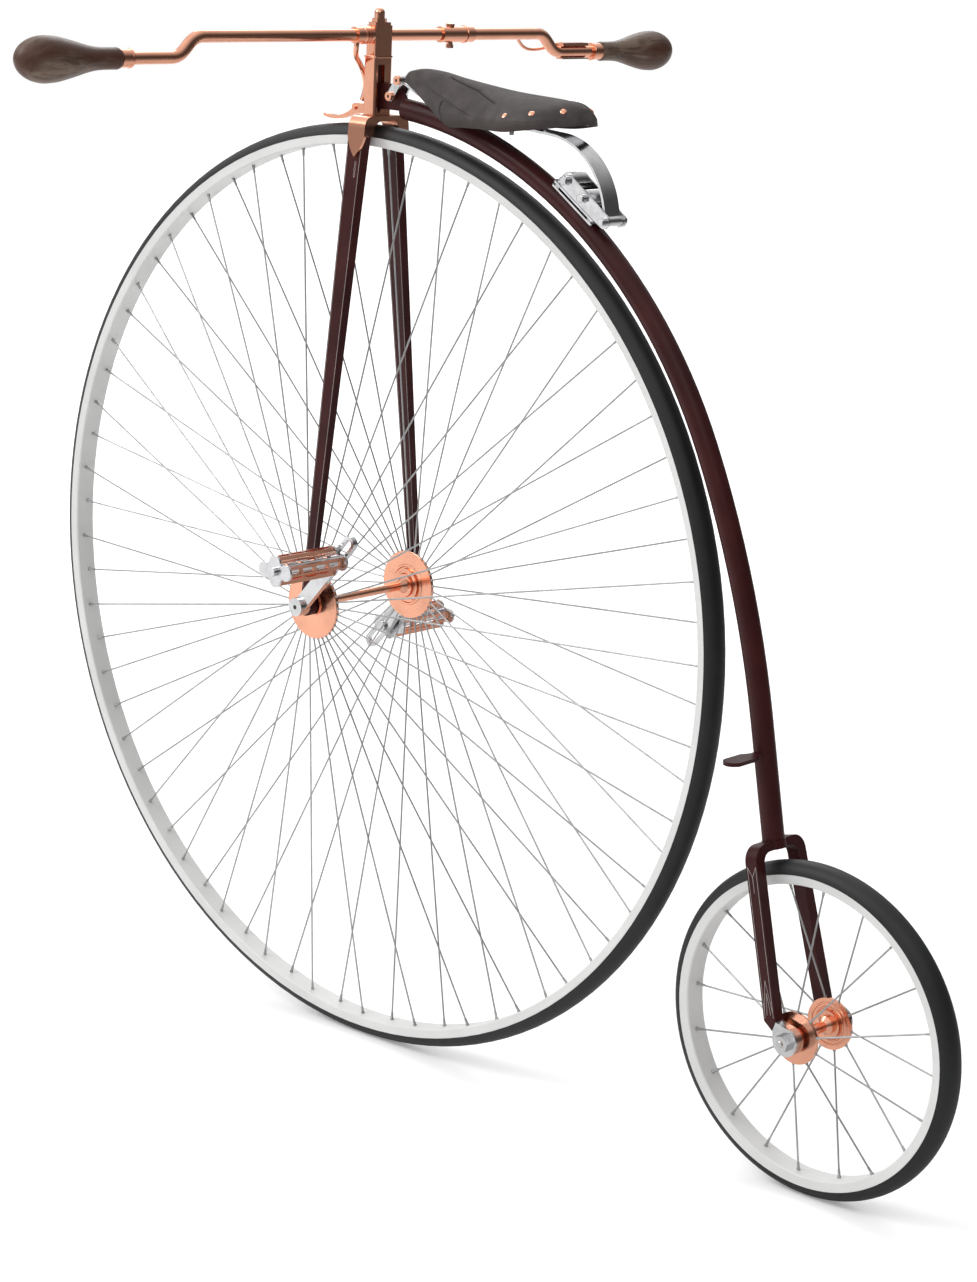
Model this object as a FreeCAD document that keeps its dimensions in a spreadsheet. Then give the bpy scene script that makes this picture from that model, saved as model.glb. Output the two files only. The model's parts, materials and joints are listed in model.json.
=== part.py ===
"""Penny farthing bicycle, as a parametric assembly of its real pieces.

Millimetres.  X points forward, Y to the rider's left and Z up.  The origin is on the
saddle, where the rider sits.  Most pieces are drawn about an axle and put in place by
their Placement: the steered ones lean back with the steering axis, which passes through
the front axle, and the rear fork leans forward over the rear axle.
"""

import FreeCAD, Part
import Sketcher
import math
import os
import re
from FreeCAD import Placement, Rotation, Vector

os.makedirs("parts", exist_ok=True)
doc = FreeCAD.newDocument("penny_farthing_bicycle")

# ---------------------------------------------------------------------------
# Driving sizes: name, millimetres or degrees
# ---------------------------------------------------------------------------
SIZES = (
    # places of the wheels, from the rider's seat
    ("axle_ahead", 292.0),
    ("axle_below", 704.0),
    ("wheelbase", 820.0),
    ("rake", 3.0),
    ("rear_rake", 12.5),
    # wheels
    ("front_radius", 660.0),
    ("rear_radius", 220.4),
    ("tyre_round", 18.4),
    ("tyre_shoulder", 15.6),
    ("tyre_foot_half_width", 15.6),
    ("tyre_foot_depth", 23.7),
    ("rim_depth", 28.6),
    ("rim_half_width", 17.8),
    ("rim_lip_depth", 15.9),
    ("rim_foot_half_width", 14.5),
    ("rim_channel_half_width", 16.0),
    ("rim_channel_depth", 24.0),
    ("seat_gap", 0.3),
    ("running_fit", 0.05),
    ("rim_chamfer", 1.5),
    ("spoke_radius", 1.2),
    ("spoke_rim_offset", 3.0),
    ("front_spoke_count", 72),
    ("rear_spoke_count", 20),
    ("rear_spoke_turn", 32.0),
    # front hub
    ("front_flange_place", 93.0),
    ("front_flange_radius", 49.0),
    ("front_flange_thickness", 5.0),
    ("front_axle_radius", 6.0),
    ("front_boss_radius", 24.0),
    ("front_boss_step", 17.0),
    ("front_boss_neck", 11.0),
    ("boss_step_length", 4.5),
    ("front_journal_radius", 8.0),
    ("front_axle_end", 127.0),
    # rear hub and axle
    ("rear_flange_place", 35.4),
    ("rear_flange_radius", 34.0),
    ("rear_flange_thickness", 4.0),
    ("rear_barrel_radius", 7.0),
    ("rear_boss_radius", 19.0),
    ("rear_boss_step", 12.5),
    ("rear_boss_length", 4.6),
    ("rear_axle_radius", 4.5),
    ("rear_axle_end", 68.0),
    ("axle_lug_radius", 18.7),
    ("axle_lug_length", 14.5),
    ("axle_tongue_turn", 20.0),
    ("axle_nut_flats", 20.0),
    ("axle_nut_length", 9.0),
    # backbone
    ("backbone_radius", 14.4),
    ("backbone_bend_radius", 687.0),
    ("backbone_start", 7.8),
    ("backbone_bend_end", 66.0),
    ("tail_bend_radius", 1316.0),
    ("neck_thickness", 5.0),
    ("neck_low", 681.5),
    ("neck_high", 716.0),
    ("neck_rear_high", 699.0),
    ("neck_reach", 56.8),
    ("neck_slope", 14.0),
    ("spindle_radius", 5.0),
    ("step_reach", 76.0),
    ("step_width", 26.0),
    ("step_thickness", 5.0),
    ("step_above_crown", 110.8),
    ("step_stem_width", 14.0),
    ("step_stem_reach", 22.0),
    ("step_tread_start", 34.0),
    ("step_root_gap", 0.8),
    # rear fork
    ("rear_fork_ahead", 18.1),
    ("rear_crown_top", 245.7),
    ("rear_crown_thickness", 11.0),
    ("rear_crown_half_span", 50.0),
    ("rear_crown_corner", 21.0),
    ("rear_crown_inner_corner", 13.0),
    ("rear_crown_boss", 15.6),
    ("rear_blade_width", 18.0),
    ("rear_blade_thickness", 16.0),
    ("rear_blade_foot", 60.0),
    ("rear_blade_front_end", 27.0),
    ("rear_blade_point", 14.7),
    ("rear_blade_point_ahead", 16.7),
    ("rear_blade_rear_end", 25.6),
    # front fork and head
    ("crown_low", 665.5),
    ("crown_high", 672.5),
    ("crown_shoulder", 41.5),
    ("crown_corner", 14.0),
    ("crown_depth", 32.0),
    ("crown_back", 5.0),
    ("lug_thickness", 4.0),
    ("lug_tip", 616.7),
    ("lug_point", 1.0),
    ("lug_round", 60.0),
    ("blade_top", 645.0),
    ("blade_top_width", 29.0),
    ("blade_top_thickness", 14.5),
    ("blade_top_place", 30.8),
    ("blade_tip", 12.0),
    ("blade_tip_width", 16.0),
    ("blade_tip_thickness", 9.0),
    ("blade_tip_place", 105.0),
    ("bearing_radius", 15.0),
    ("bearing_thickness", 9.0),
    ("head_depth", 23.0),
    ("head_width", 33.0),
    ("head_corner", 4.5),
    ("head_hollow", 8.9),
    ("head_floor", 8.0),
    ("head_top", 750.0),
    ("slot_low", 675.5),
    ("slot_high", 740.0),
    ("steering_range", 25.0),
    ("slot_clearance", 1.3),
    ("block_width", 32.0),
    ("block_depth", 21.0),
    ("block_height", 42.0),
    ("block_corner", 4.0),
    ("cap_plate_inset", 1.5),
    ("cap_plate_height", 4.0),
    ("cap_hex_flats", 18.0),
    ("cap_hex_height", 5.0),
    ("cap_dome_radius", 7.1),
    ("cap_dome_height", 14.0),
    # handlebar
    ("bar_radius", 8.2),
    ("bar_height", 779.0),
    ("bar_half_straight", 312.0),
    ("bar_bend_radius", 30.0),
    ("bar_bend_turn", 45.0),
    ("bar_bend_run", 12.0),
    ("bar_half_length", 470.0),
    ("grip_start", 447.0),
    ("grip_neck_end", 486.0),
    ("grip_belly", 563.0),
    ("grip_end", 605.0),
    ("grip_radius", 29.3),
    ("grip_neck_radius", 14.0),
    ("grip_start_radius", 12.5),
    ("grip_flank", 525.0),
    ("grip_flank_bulge", 21.5),
    ("grip_bore_end_gap", 1.0),
    ("grip_tip_radius", 10.0),
    ("grip_flank_radius", 120.0),
    ("grip_shoulder_radius", 75.0),
    ("grip_tip_round", 34.0),
    ("ferrule_radius", 11.8),
    ("ferrule_length", 18.0),
    ("bar_sleeve_start", 116.0),
    ("bar_sleeve_end", 178.0),
    ("bar_sleeve_radius", 11.0),
    ("bar_collar_end", 46.0),
    ("bar_collar_radius", 11.0),
    # brake
    ("brake_rod_radius", 3.5),
    ("brake_pivot_reach", 33.6),
    ("brake_pivot_height", 679.6),
    ("brake_pivot_radius", 6.5),
    ("brake_pin_radius", 3.0),
    ("brake_cheek_thickness", 3.0),
    ("brake_lug_root", 4.0),
    ("brake_rod_bend", 20.0),
    ("brake_rod_end_gap", 2.2),
    ("lever_start", 256.0),
    ("lever_elbow", 350.0),
    ("lever_end", 420.0),
    ("lever_place", 14.0),
    ("lever_width", 10.0),
    ("lever_thickness", 3.0),
    ("lever_low", 767.0),
    ("lever_collar_length", 12.0),
    ("lever_collar_radius", 11.5),
    ("spoon_width", 12.0),
    ("spoon_reach", 65.0),
    ("spoon_drop", 11.6),
    ("spoon_thickness", 4.6),
    ("spoon_tip_round", 2.6),
    ("spoon_low_round", 94.0),
    ("spoon_high_round", 67.0),
    # cranks and pedals
    ("crank_angle", 45.0),
    ("crank_place", 118.5),
    ("crank_thickness", 8.0),
    ("crank_boss_radius", 13.0),
    ("crank_boss_start", 110.5),
    ("crank_boss_end", 128.5),
    ("crank_cap", 1.2),
    ("crank_half_width", 10.5),
    ("crank_slot_end", 145.0),
    ("crank_slot_half_width", 5.5),
    ("pedal_throw", 109.0),
    ("pedal_start", 128.0),
    ("pedal_end", 234.0),
    ("pedal_spindle_radius", 4.5),
    ("pedal_barrel_radius", 8.0),
    ("pedal_plate_thickness", 3.0),
    ("pedal_lobe_reach", 21.0),
    ("pedal_lobe_rise", 11.0),
    ("pedal_lobe_radius", 11.0),
    ("pedal_bar_thickness", 5.0),
    ("pedal_bar_depth", 14.0),
    ("pedal_bar_rise", 17.0),
    ("pedal_bar_rail", 3.5),
    ("pedal_windows", 4),
    ("pedal_nut_flats", 13.0),
    ("pedal_nut_length", 6.0),
    ("pedal_spindle_bare", 1.0),
    ("pedal_head_length", 4.0),
    ("pedal_collar_length", 5.0),
    ("pedal_collar_radius", 8.0),
    # saddle
    ("leather", 4.5),
    ("saddle_depth", 60.0),
    ("slit_place", 101.5),
    ("slit_width", 1.6),
    ("slit_top", -10.0),
    # saddle spring
    ("leaf_front_angle", 28.0),
    ("leaf_front_radius", 412.0),
    ("leaf_middle_angle", 7.0),
    ("leaf_rear_angle", 79.0),
    ("leaf_rear_radius", 105.0),
    ("leaf_width", 28.0),
    ("leaf_tip_width", 17.0),
    ("leaf_taper_start", 150.0),
    ("leaf_taper_end", 186.0),
    ("leaf_thickness", 3.5),
    ("leaf_eye_radius", 6.5),
    # steel frame under the leather
    ("rail_width", 22.0),
    ("rail_thickness", 3.0),
    ("rail_front", 30.0),
    ("rail_rear", 40.0),
    ("rail_nose", 172.0),
    ("rail_nose_height", 13.5),
    ("rail_tail", 100.0),
    ("rail_tail_height", -22.0),
    ("cantle_start", 74.0),
    ("nose_block_start", 160.0),
    ("nose_block_low", 13.0),
    # front link of the spring, from the front axle along the steering axis
    ("link_low_place", 37.0),
    ("link_low_rise", 19.0),
    ("link_high_place", 51.8),
    ("link_high_rise", 22.0),
    ("link_half_width", 6.5),
    ("link_plate_thickness", 3.0),
    ("link_bolt_radius", 3.0),
    ("link_head_radius", 6.0),
    ("link_head_length", 3.5),
    # rear shackle, about the front axle at its own angle
    ("shackle_angle", 36.0),
    ("shackle_plate_place", 4.0),
    ("shackle_plate_half_length", 42.0),
    ("shackle_plate_thickness", 2.6),
    ("shackle_plate_space", 3.2),
    ("shackle_half_width", 18.0),
    ("shackle_spacer", 7.0),
    ("shackle_spacer_place", 34.0),
    ("base_nut_flats", 7.0),
    ("base_nut_height", 3.0),
    ("base_nut_place", 37.5),
    ("base_nut_side", 8.5),
    ("roller_high_place", 29.0),
    ("roller_low_place", -7.0),
    ("roller_radius", 11.0),
    ("roller_bolt_radius", 3.5),
    ("shackle_head_radius", 5.5),
    ("cheek_thickness", 3.0),
    ("cheek_half_height", 9.0),
    ("cheek_foot", 18.0),
    ("shackle_pin_place", -52.0),
    ("shackle_pin_drop", 1.5),
    ("shackle_pin_radius", 4.0),
)

sheet = doc.addObject("Spreadsheet::Sheet", "sizes")
for row, (alias, amount) in enumerate(SIZES, start=1):
    sheet.set(f"A{row}", alias)
    sheet.set(f"B{row}", str(amount))
    sheet.setAlias(f"B{row}", alias)
doc.recompute()

WORDS = "cos|sin|tan|atan|atan2|asin|acos|sqrt|hypot|deg"
SUBPARTS = []


# ---------------------------------------------------------------------------
# Expressions, sketches and features
# ---------------------------------------------------------------------------
def bound(expression):
    """The same expression with each size named as a cell of the sheet."""
    return re.sub(rf"\b(?!(?:{WORDS})\b)[a-z][a-z_]*\b", r"sizes.\g<0>", str(expression))


def amount_of(expression):
    """Value of an expression on the sheet's sizes."""
    value = sheet.evalExpression(bound(expression))
    return float(getattr(value, "Value", value))


def bind(target, path, expression):
    """Bind one property of an object to the sheet."""
    target.setExpression(path, bound(expression))


def constrain(sketch, kind, where, expression):
    """Add a dimension to a sketch and bind it when it names a size."""
    number = sketch.addConstraint(Sketcher.Constraint(kind, *where, amount_of(expression)))
    if re.search("[a-z]", str(expression)):
        bind(sketch, f"Constraints[{number}]", expression)


def arc_through(start, end, radius):
    """Arc from start to end: the centre is on the left of the way for a positive radius."""
    chord = end - start
    left = Vector(-chord.y, chord.x, 0).normalize()
    rise = math.sqrt(max(radius * radius - chord.Length ** 2 / 4, 0.0))
    side = math.copysign(1.0, radius)
    centre = (start + end) / 2 + left * rise * side
    middle = centre - left * abs(radius) * side
    return Part.Arc(start, middle, end)


def plane_of(body, role):
    """One of a body's own origin planes."""
    return next(f for f in body.Origin.OriginFeatures if f.Role == role)


def new_body(label):
    """An empty PartDesign body that becomes a sub-part."""
    body = doc.addObject("PartDesign::Body", label)
    body.Label = label
    body.AllowCompound = True
    SUBPARTS.append(body)
    return body


def new_sketch(body, name, role, lift=None):
    """Sketch on an origin plane of its body, lifted along the plane's normal."""
    sketch = body.newObject("Sketcher::SketchObject", name)
    sketch.AttachmentSupport = [(plane_of(body, role), "")]
    sketch.MapMode = "FlatFace"
    if lift is not None:
        bind(sketch, "AttachmentOffset.Base.z", lift)
    return sketch


def draw_outline(sketch, rows):
    """Closed outline: each row is (across, up) or (across, up, radius of the edge that follows)."""
    points = [Vector(amount_of(row[0]), amount_of(row[1]), 0) for row in rows]
    first = sketch.GeometryCount
    ends = []
    for index, row in enumerate(rows):
        start = points[index]
        end = points[(index + 1) % len(rows)]
        if len(row) == 2:
            sketch.addGeometry(Part.LineSegment(start, end), False)
            ends.append((1, 2))
        else:
            radius = amount_of(row[2])
            sketch.addGeometry(arc_through(start, end, radius), False)
            ends.append((1, 2) if radius > 0 else (2, 1))
    for index in range(len(rows)):
        following = (index + 1) % len(rows)
        joint = (first + index, ends[index][1], first + following, ends[following][0])
        sketch.addConstraint(Sketcher.Constraint("Coincident", *joint))
    for index, row in enumerate(rows):
        corner = (-1, 1, first + index, ends[index][0])
        constrain(sketch, "DistanceX", corner, row[0])
        constrain(sketch, "DistanceY", corner, row[1])
        if len(row) == 3:
            constrain(sketch, "Radius", (first + index,), str(row[2]).lstrip("-"))


def draw_circle(sketch, across, up, radius):
    """Circle with its centre and radius bound to the sheet."""
    number = sketch.GeometryCount
    centre = Vector(amount_of(across), amount_of(up), 0)
    sketch.addGeometry(Part.Circle(centre, Vector(0, 0, 1), amount_of(radius)), False)
    constrain(sketch, "Radius", (number,), radius)
    constrain(sketch, "DistanceX", (-1, 1, number, 3), across)
    constrain(sketch, "DistanceY", (-1, 1, number, 3), up)


def pad(body, sketch, name, length):
    """Pad a sketch to both sides of its plane."""
    feature = body.newObject("PartDesign::Pad", name)
    feature.Profile = sketch
    feature.SideType = "Symmetric"
    bind(feature, "Length", length)
    return feature


def pocket(body, sketch, name, length):
    """Cut a sketch's outline to both sides of its plane."""
    feature = body.newObject("PartDesign::Pocket", name)
    feature.Profile = sketch
    feature.SideType = "Symmetric"
    bind(feature, "Length", length)
    return feature


def revolve(body, sketch, name, axis, kind="PartDesign::Revolution"):
    """Turn a sketch fully round its own H_Axis or V_Axis."""
    feature = body.newObject(kind, name)
    feature.Profile = sketch
    feature.ReferenceAxis = (sketch, [axis])
    feature.Angle = 360.0
    return feature


def turned(label, rows, across=True):
    """Body of revolution: about Y from rows (along Y, radius), or about Z from (radius, up)."""
    body = new_body(label)
    role = "YZ_Plane" if across else "XZ_Plane"
    sketch = new_sketch(body, label + "_outline", role)
    draw_outline(sketch, rows)
    revolve(body, sketch, label + "_turn", "H_Axis" if across else "V_Axis")
    return body


def place_about(body, about, lean=None):
    """Put a body at the front axle, the rear axle or the seat, turned about Y."""
    places = {
        "front axle": ("axle_ahead", "-axle_below"),
        "rear axle": ("axle_ahead - wheelbase", "rear_radius - front_radius - axle_below"),
        "seat": ("0", "0"),
    }
    ahead, up = places[about]
    bind(body, "Placement.Base.x", ahead)
    bind(body, "Placement.Base.z", up)
    if lean is not None:
        body.Placement.Rotation = Rotation(Vector(0, 1, 0), amount_of(lean))
        bind(body, "Placement.Rotation.Angle", lean)
    return body


STEERED = ("front axle", "-rake")
REAR_LEAN = ("rear axle", "rear_rake")


def hexagon(across_flats, lift="0"):
    """Rows of a hexagon with two flats up and down, about the sketch's origin."""
    half = f"({across_flats}) / 2"
    corner = f"({across_flats}) / 2 / cos(30)"
    rows = []
    for across, up in ((1, 0), (0.5, 1), (-0.5, 1), (-1, 0), (-0.5, -1), (0.5, -1)):
        rows.append((f"{across} * {corner}", f"{up} * {half} + {lift}"))
    return rows


# ---------------------------------------------------------------------------
# Wheels
# ---------------------------------------------------------------------------
def make_tyre(name, radius):
    """Round solid tyre, with a foot that lies in the rim's channel."""
    shoulder = f"{radius} - tyre_shoulder"
    bulge = "sqrt(tyre_round * tyre_round - (tyre_round - tyre_shoulder) * (tyre_round - tyre_shoulder))"
    foot = f"{radius} - tyre_foot_depth"
    rows = (
        (f"-({bulge})", shoulder),
        ("-tyre_foot_half_width", shoulder),
        ("-tyre_foot_half_width", foot),
        ("tyre_foot_half_width", foot),
        ("tyre_foot_half_width", shoulder),
        (bulge, shoulder, "tyre_round"),
    )
    return turned(name, rows)


def make_rim(name, radius):
    """Rim with two lips, a channel for the tyre and rounded inner corners."""
    rows = (
        ("-rim_foot_half_width", f"{radius} - rim_depth"),
        ("rim_foot_half_width", f"{radius} - rim_depth"),
        ("rim_foot_half_width + rim_chamfer", f"{radius} - rim_depth + rim_chamfer"),
        ("rim_half_width", f"{radius} - rim_lip_depth"),
        ("rim_channel_half_width", f"{radius} - rim_lip_depth"),
        ("rim_channel_half_width", f"{radius} - rim_channel_depth"),
        ("-rim_channel_half_width", f"{radius} - rim_channel_depth"),
        ("-rim_channel_half_width", f"{radius} - rim_lip_depth"),
        ("-rim_half_width", f"{radius} - rim_lip_depth"),
        ("-rim_foot_half_width - rim_chamfer", f"{radius} - rim_depth + rim_chamfer"),
    )
    return turned(name, rows)


def make_spokes(name, radius, flange_radius, flange_place, count, first_left, about):
    """Straight spokes, by turns from the left and the right flange to the rim's foot."""
    inner = amount_of(f"{flange_radius} + seat_gap")
    outer = amount_of(f"{radius} - rim_depth - seat_gap")
    low = amount_of(flange_place)
    high = amount_of("spoke_rim_offset")
    thick = amount_of("spoke_radius")
    many = round(amount_of(count))
    solids = []
    for number in range(many):
        side = 1 if number % 2 == 0 else -1
        turn = math.radians(amount_of(first_left) + number * 360.0 / many)
        out = Vector(math.sin(turn), 0, math.cos(turn))
        start = out * inner + Vector(0, side * low, 0)
        end = out * outer + Vector(0, side * high, 0)
        solids.append(Part.makeCylinder(thick, (end - start).Length, start, end - start))
    spokes = doc.addObject("Part::Feature", name)
    spokes.Label = name
    spokes.Shape = Part.makeCompound(solids)
    SUBPARTS.append(spokes)
    return place_about(spokes, about)


def mirrored_rows(half):
    """A profile that runs from the left end to the middle, and back out on the right."""
    left = [(f"-({place})", radius) for place, radius in half]
    right = [(place, radius) for place, radius in reversed(half)]
    return [(left[0][0], "0")] + left + right + [(right[-1][0], "0")]


def make_front_hub():
    """Axle, two stepped bosses and two flange discs, turned as one piece."""
    inner = "front_flange_place - front_flange_thickness / 2"
    outer = "front_flange_place + front_flange_thickness / 2"
    half = (
        ("front_axle_end", "front_journal_radius"),
        (f"{outer} + boss_step_length", "front_journal_radius"),
        (f"{outer} + boss_step_length", "front_boss_neck"),
        (f"{outer} + boss_step_length / 2", "front_boss_neck"),
        (f"{outer} + boss_step_length / 2", "front_boss_step"),
        (outer, "front_boss_step"),
        (outer, "front_flange_radius"),
        (inner, "front_flange_radius"),
        (inner, "front_boss_radius"),
        (f"{inner} - boss_step_length", "front_boss_radius"),
        (f"{inner} - boss_step_length", "front_boss_step"),
        (f"{inner} - 2 * boss_step_length", "front_boss_step"),
        (f"{inner} - 2 * boss_step_length", "front_boss_neck"),
        (f"{inner} - 4 * boss_step_length", "front_axle_radius"),
    )
    return place_about(turned("front_hub", mirrored_rows(half)), "front axle")


def make_rear_hub():
    """Barrel with two stepped flange discs, bored for the fixed axle."""
    inner = "rear_flange_place - rear_flange_thickness / 2"
    outer = "rear_flange_place + rear_flange_thickness / 2"
    bore = "rear_axle_radius + running_fit"
    half = (
        (f"{outer} + rear_boss_length", bore),
        (f"{outer} + rear_boss_length", "rear_boss_step"),
        (outer, "rear_boss_step"),
        (outer, "rear_flange_radius"),
        (inner, "rear_flange_radius"),
        (inner, "rear_boss_radius"),
        (f"{inner} - rear_boss_length", "rear_boss_radius"),
        (f"{inner} - rear_boss_length", "rear_boss_step"),
        (f"{inner} - 2 * rear_boss_length", "rear_boss_step"),
        (f"{inner} - 3 * rear_boss_length", "rear_barrel_radius"),
    )
    rows = mirrored_rows(half)[1:-1]
    return place_about(turned("rear_hub", rows), "rear axle")


def make_rear_axle():
    """Fixed axle rod that carries the rear hub."""
    rows = (
        ("-rear_axle_end", "0"),
        ("-rear_axle_end", "rear_axle_radius"),
        ("rear_axle_end", "rear_axle_radius"),
        ("rear_axle_end", "0"),
    )
    return place_about(turned("rear_axle", rows), "rear axle")


def make_axle_nuts():
    """Round lugs that carry the rear axle at the blades' ends, each with a hexagon nut."""
    body = new_body("rear_axle_nuts")
    bore = "rear_axle_radius + running_fit"
    inner = "(rear_blade_foot - rear_blade_thickness)"
    outer = f"({inner} + axle_lug_length)"
    tongue = (
        ("rear_blade_point_ahead - seat_gap", "rear_blade_point"),
        ("rear_fork_ahead - rear_blade_width / 2", "rear_blade_rear_end - seat_gap"),
        ("-axle_lug_radius * sin(axle_tongue_turn)", "axle_lug_radius * cos(axle_tongue_turn)"),
        ("0", "0"),
        ("axle_lug_radius * cos(axle_tongue_turn)", "axle_lug_radius * sin(axle_tongue_turn)"),
    )
    for side, word in ((1, "left"), (-1, "right")):
        middle = f"-{side} * ({inner} + {outer}) / 2"
        disc = new_sketch(body, f"axle_disc_{word}_outline", "XZ_Plane", middle)
        draw_circle(disc, "0", "0", "axle_lug_radius")
        pad(body, disc, f"axle_disc_{word}", "axle_lug_length")
        root = new_sketch(body, f"axle_tongue_{word}_outline", "XZ_Plane", middle)
        draw_outline(root, tongue)
        pad(body, root, f"axle_tongue_{word}", "axle_lug_length")
        nut = new_sketch(body, f"axle_nut_{word}_outline", "XZ_Plane",
                         f"-{side} * ({outer} + axle_nut_length / 2)")
        draw_outline(nut, hexagon("axle_nut_flats"))
        pad(body, nut, f"axle_nut_{word}", "axle_nut_length")
    hole = new_sketch(body, "axle_bore_outline", "XZ_Plane")
    draw_circle(hole, "0", "0", bore)
    pocket(body, hole, "axle_bore", "4 * rear_blade_foot")
    return place_about(body, *REAR_LEAN)


def make_wheels():
    """Both wheels with their tyres, rims, spokes and hubs."""
    place_about(make_tyre("front_tyre", "front_radius"), "front axle")
    place_about(make_rim("front_rim", "front_radius"), "front axle")
    place_about(make_tyre("rear_tyre", "rear_radius"), "rear axle")
    place_about(make_rim("rear_rim", "rear_radius"), "rear axle")
    make_spokes("front_spokes", "front_radius", "front_flange_radius", "front_flange_place",
                "front_spoke_count", "0", "front axle")
    make_spokes("rear_spokes", "rear_radius", "rear_flange_radius", "rear_flange_place",
                "rear_spoke_count", "rear_spoke_turn", "rear axle")
    make_front_hub()
    make_rear_hub()
    make_rear_axle()
    make_axle_nuts()


def new_feature(label, shape, about="seat", lean=None):
    """Sub-part whose shape is made with Part's own functions from the sheet's sizes."""
    feature = doc.addObject("Part::Feature", label)
    feature.Label = label
    feature.Shape = shape
    SUBPARTS.append(feature)
    return place_about(feature, about, lean)


# ---------------------------------------------------------------------------
# Routes
# ---------------------------------------------------------------------------
def route(start, heading, legs):
    """Rows of a path of straight legs (length,) and turns (signed radius, signed angle)."""
    across, up = start
    rows = []
    for leg in legs:
        if len(leg) == 1:
            rows.append((across, up))
            across = f"{across} + {leg[0]} * cos({heading})"
            up = f"{up} + {leg[0]} * sin({heading})"
        else:
            radius, turn = leg
            rows.append((across, up, radius))
            ahead = f"{heading} + {turn}"
            across = f"{across} + {radius} * (sin({ahead}) - sin({heading}))"
            up = f"{up} - {radius} * (cos({ahead}) - cos({heading}))"
            heading = ahead
    rows.append((across, up))
    return rows


def draw_path(sketch, rows):
    """Open path of lines and arcs: rows as in draw_outline, the last one ends it."""
    points = [Vector(amount_of(row[0]), amount_of(row[1]), 0) for row in rows]
    ends = []
    for index, row in enumerate(rows[:-1]):
        if len(row) == 2:
            sketch.addGeometry(Part.LineSegment(points[index], points[index + 1]), False)
            ends.append((1, 2))
        else:
            radius = amount_of(row[2])
            sketch.addGeometry(arc_through(points[index], points[index + 1], radius), False)
            ends.append((1, 2) if radius > 0 else (2, 1))
    for index in range(1, len(ends)):
        joint = (index - 1, ends[index - 1][1], index, ends[index][0])
        sketch.addConstraint(Sketcher.Constraint("Coincident", *joint))
    for index, row in enumerate(rows):
        edge = min(index, len(ends) - 1)
        corner = (-1, 1, edge, ends[edge][0 if index < len(ends) else 1])
        constrain(sketch, "DistanceX", corner, row[0])
        constrain(sketch, "DistanceY", corner, row[1])
        if len(row) == 3:
            constrain(sketch, "Radius", (index,), str(row[2]).lstrip("-"))


def bent_line(points, bend_radius):
    """Wire through points, straight between them and rounded at each one."""
    edges = []
    start = points[0]
    for before, corner, after in zip(points, points[1:], points[2:]):
        back = (before - corner).normalize()
        ahead = (after - corner).normalize()
        half_angle = back.getAngle(ahead) / 2
        reach = bend_radius / math.tan(half_angle)
        depth = bend_radius / math.sin(half_angle) - bend_radius
        middle = corner + (back + ahead).normalize() * depth
        edges.append(Part.LineSegment(start, corner + back * reach).toShape())
        edges.append(Part.Arc(corner + back * reach, middle, corner + ahead * reach).toShape())
        start = corner + ahead * reach
    edges.append(Part.LineSegment(start, points[-1]).toShape())
    return Part.Wire(edges)


def section_on(body, path, name):
    """Sketch square to the start of a path."""
    section = body.newObject("Sketcher::SketchObject", name)
    section.AttachmentSupport = [(path, "Edge1")]
    section.MapMode = "NormalToEdge"
    section.MapPathParameter = 0.0
    return section


def sweep(body, path, section, name):
    """Carry a section along a sketched path."""
    doc.recompute()
    feature = body.newObject("PartDesign::AdditivePipe", name)
    feature.Profile = section
    feature.Spine = (path, [f"Edge{number + 1}" for number in range(path.GeometryCount)])
    doc.recompute()
    return feature


def both_sides(half):
    """Outline from its right half, which runs down the outside and up the inside."""
    rows = list(half)
    for index in range(len(half) - 1, -1, -1):
        across, up = half[index][:2]
        turn = half[index - 1][2:] if index else ()
        rows.append((f"-({across})", up) + tuple(turn))
    return rows


# ---------------------------------------------------------------------------
# Backbone and rear fork
# ---------------------------------------------------------------------------
def on_rear_fork(ahead, up):
    """A point of the leaning rear fork, from the front axle."""
    return (f"-wheelbase + ({ahead}) * cos(rear_rake) + ({up}) * sin(rear_rake)",
            f"rear_radius - front_radius - ({ahead}) * sin(rear_rake) + ({up}) * cos(rear_rake)")


# The backbone's last bend: its centre, and the angle at which it leaves for the rear crown.
CROWN_AHEAD, CROWN_UP = on_rear_fork("rear_fork_ahead", "rear_crown_top")
BEND_AHEAD = "(tail_bend_radius - backbone_bend_radius) * sin(backbone_bend_end)"
BEND_UP = "-(tail_bend_radius - backbone_bend_radius) * cos(backbone_bend_end)"
TAIL_BACK = f"({BEND_AHEAD} - ({CROWN_AHEAD}))"
TAIL_RISE = f"({CROWN_UP} - ({BEND_UP}))"
TAIL_ANGLE = (f"(atan2({TAIL_BACK}; {TAIL_RISE})"
              f" - acos(tail_bend_radius / hypot({TAIL_BACK}; {TAIL_RISE})))")


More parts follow.
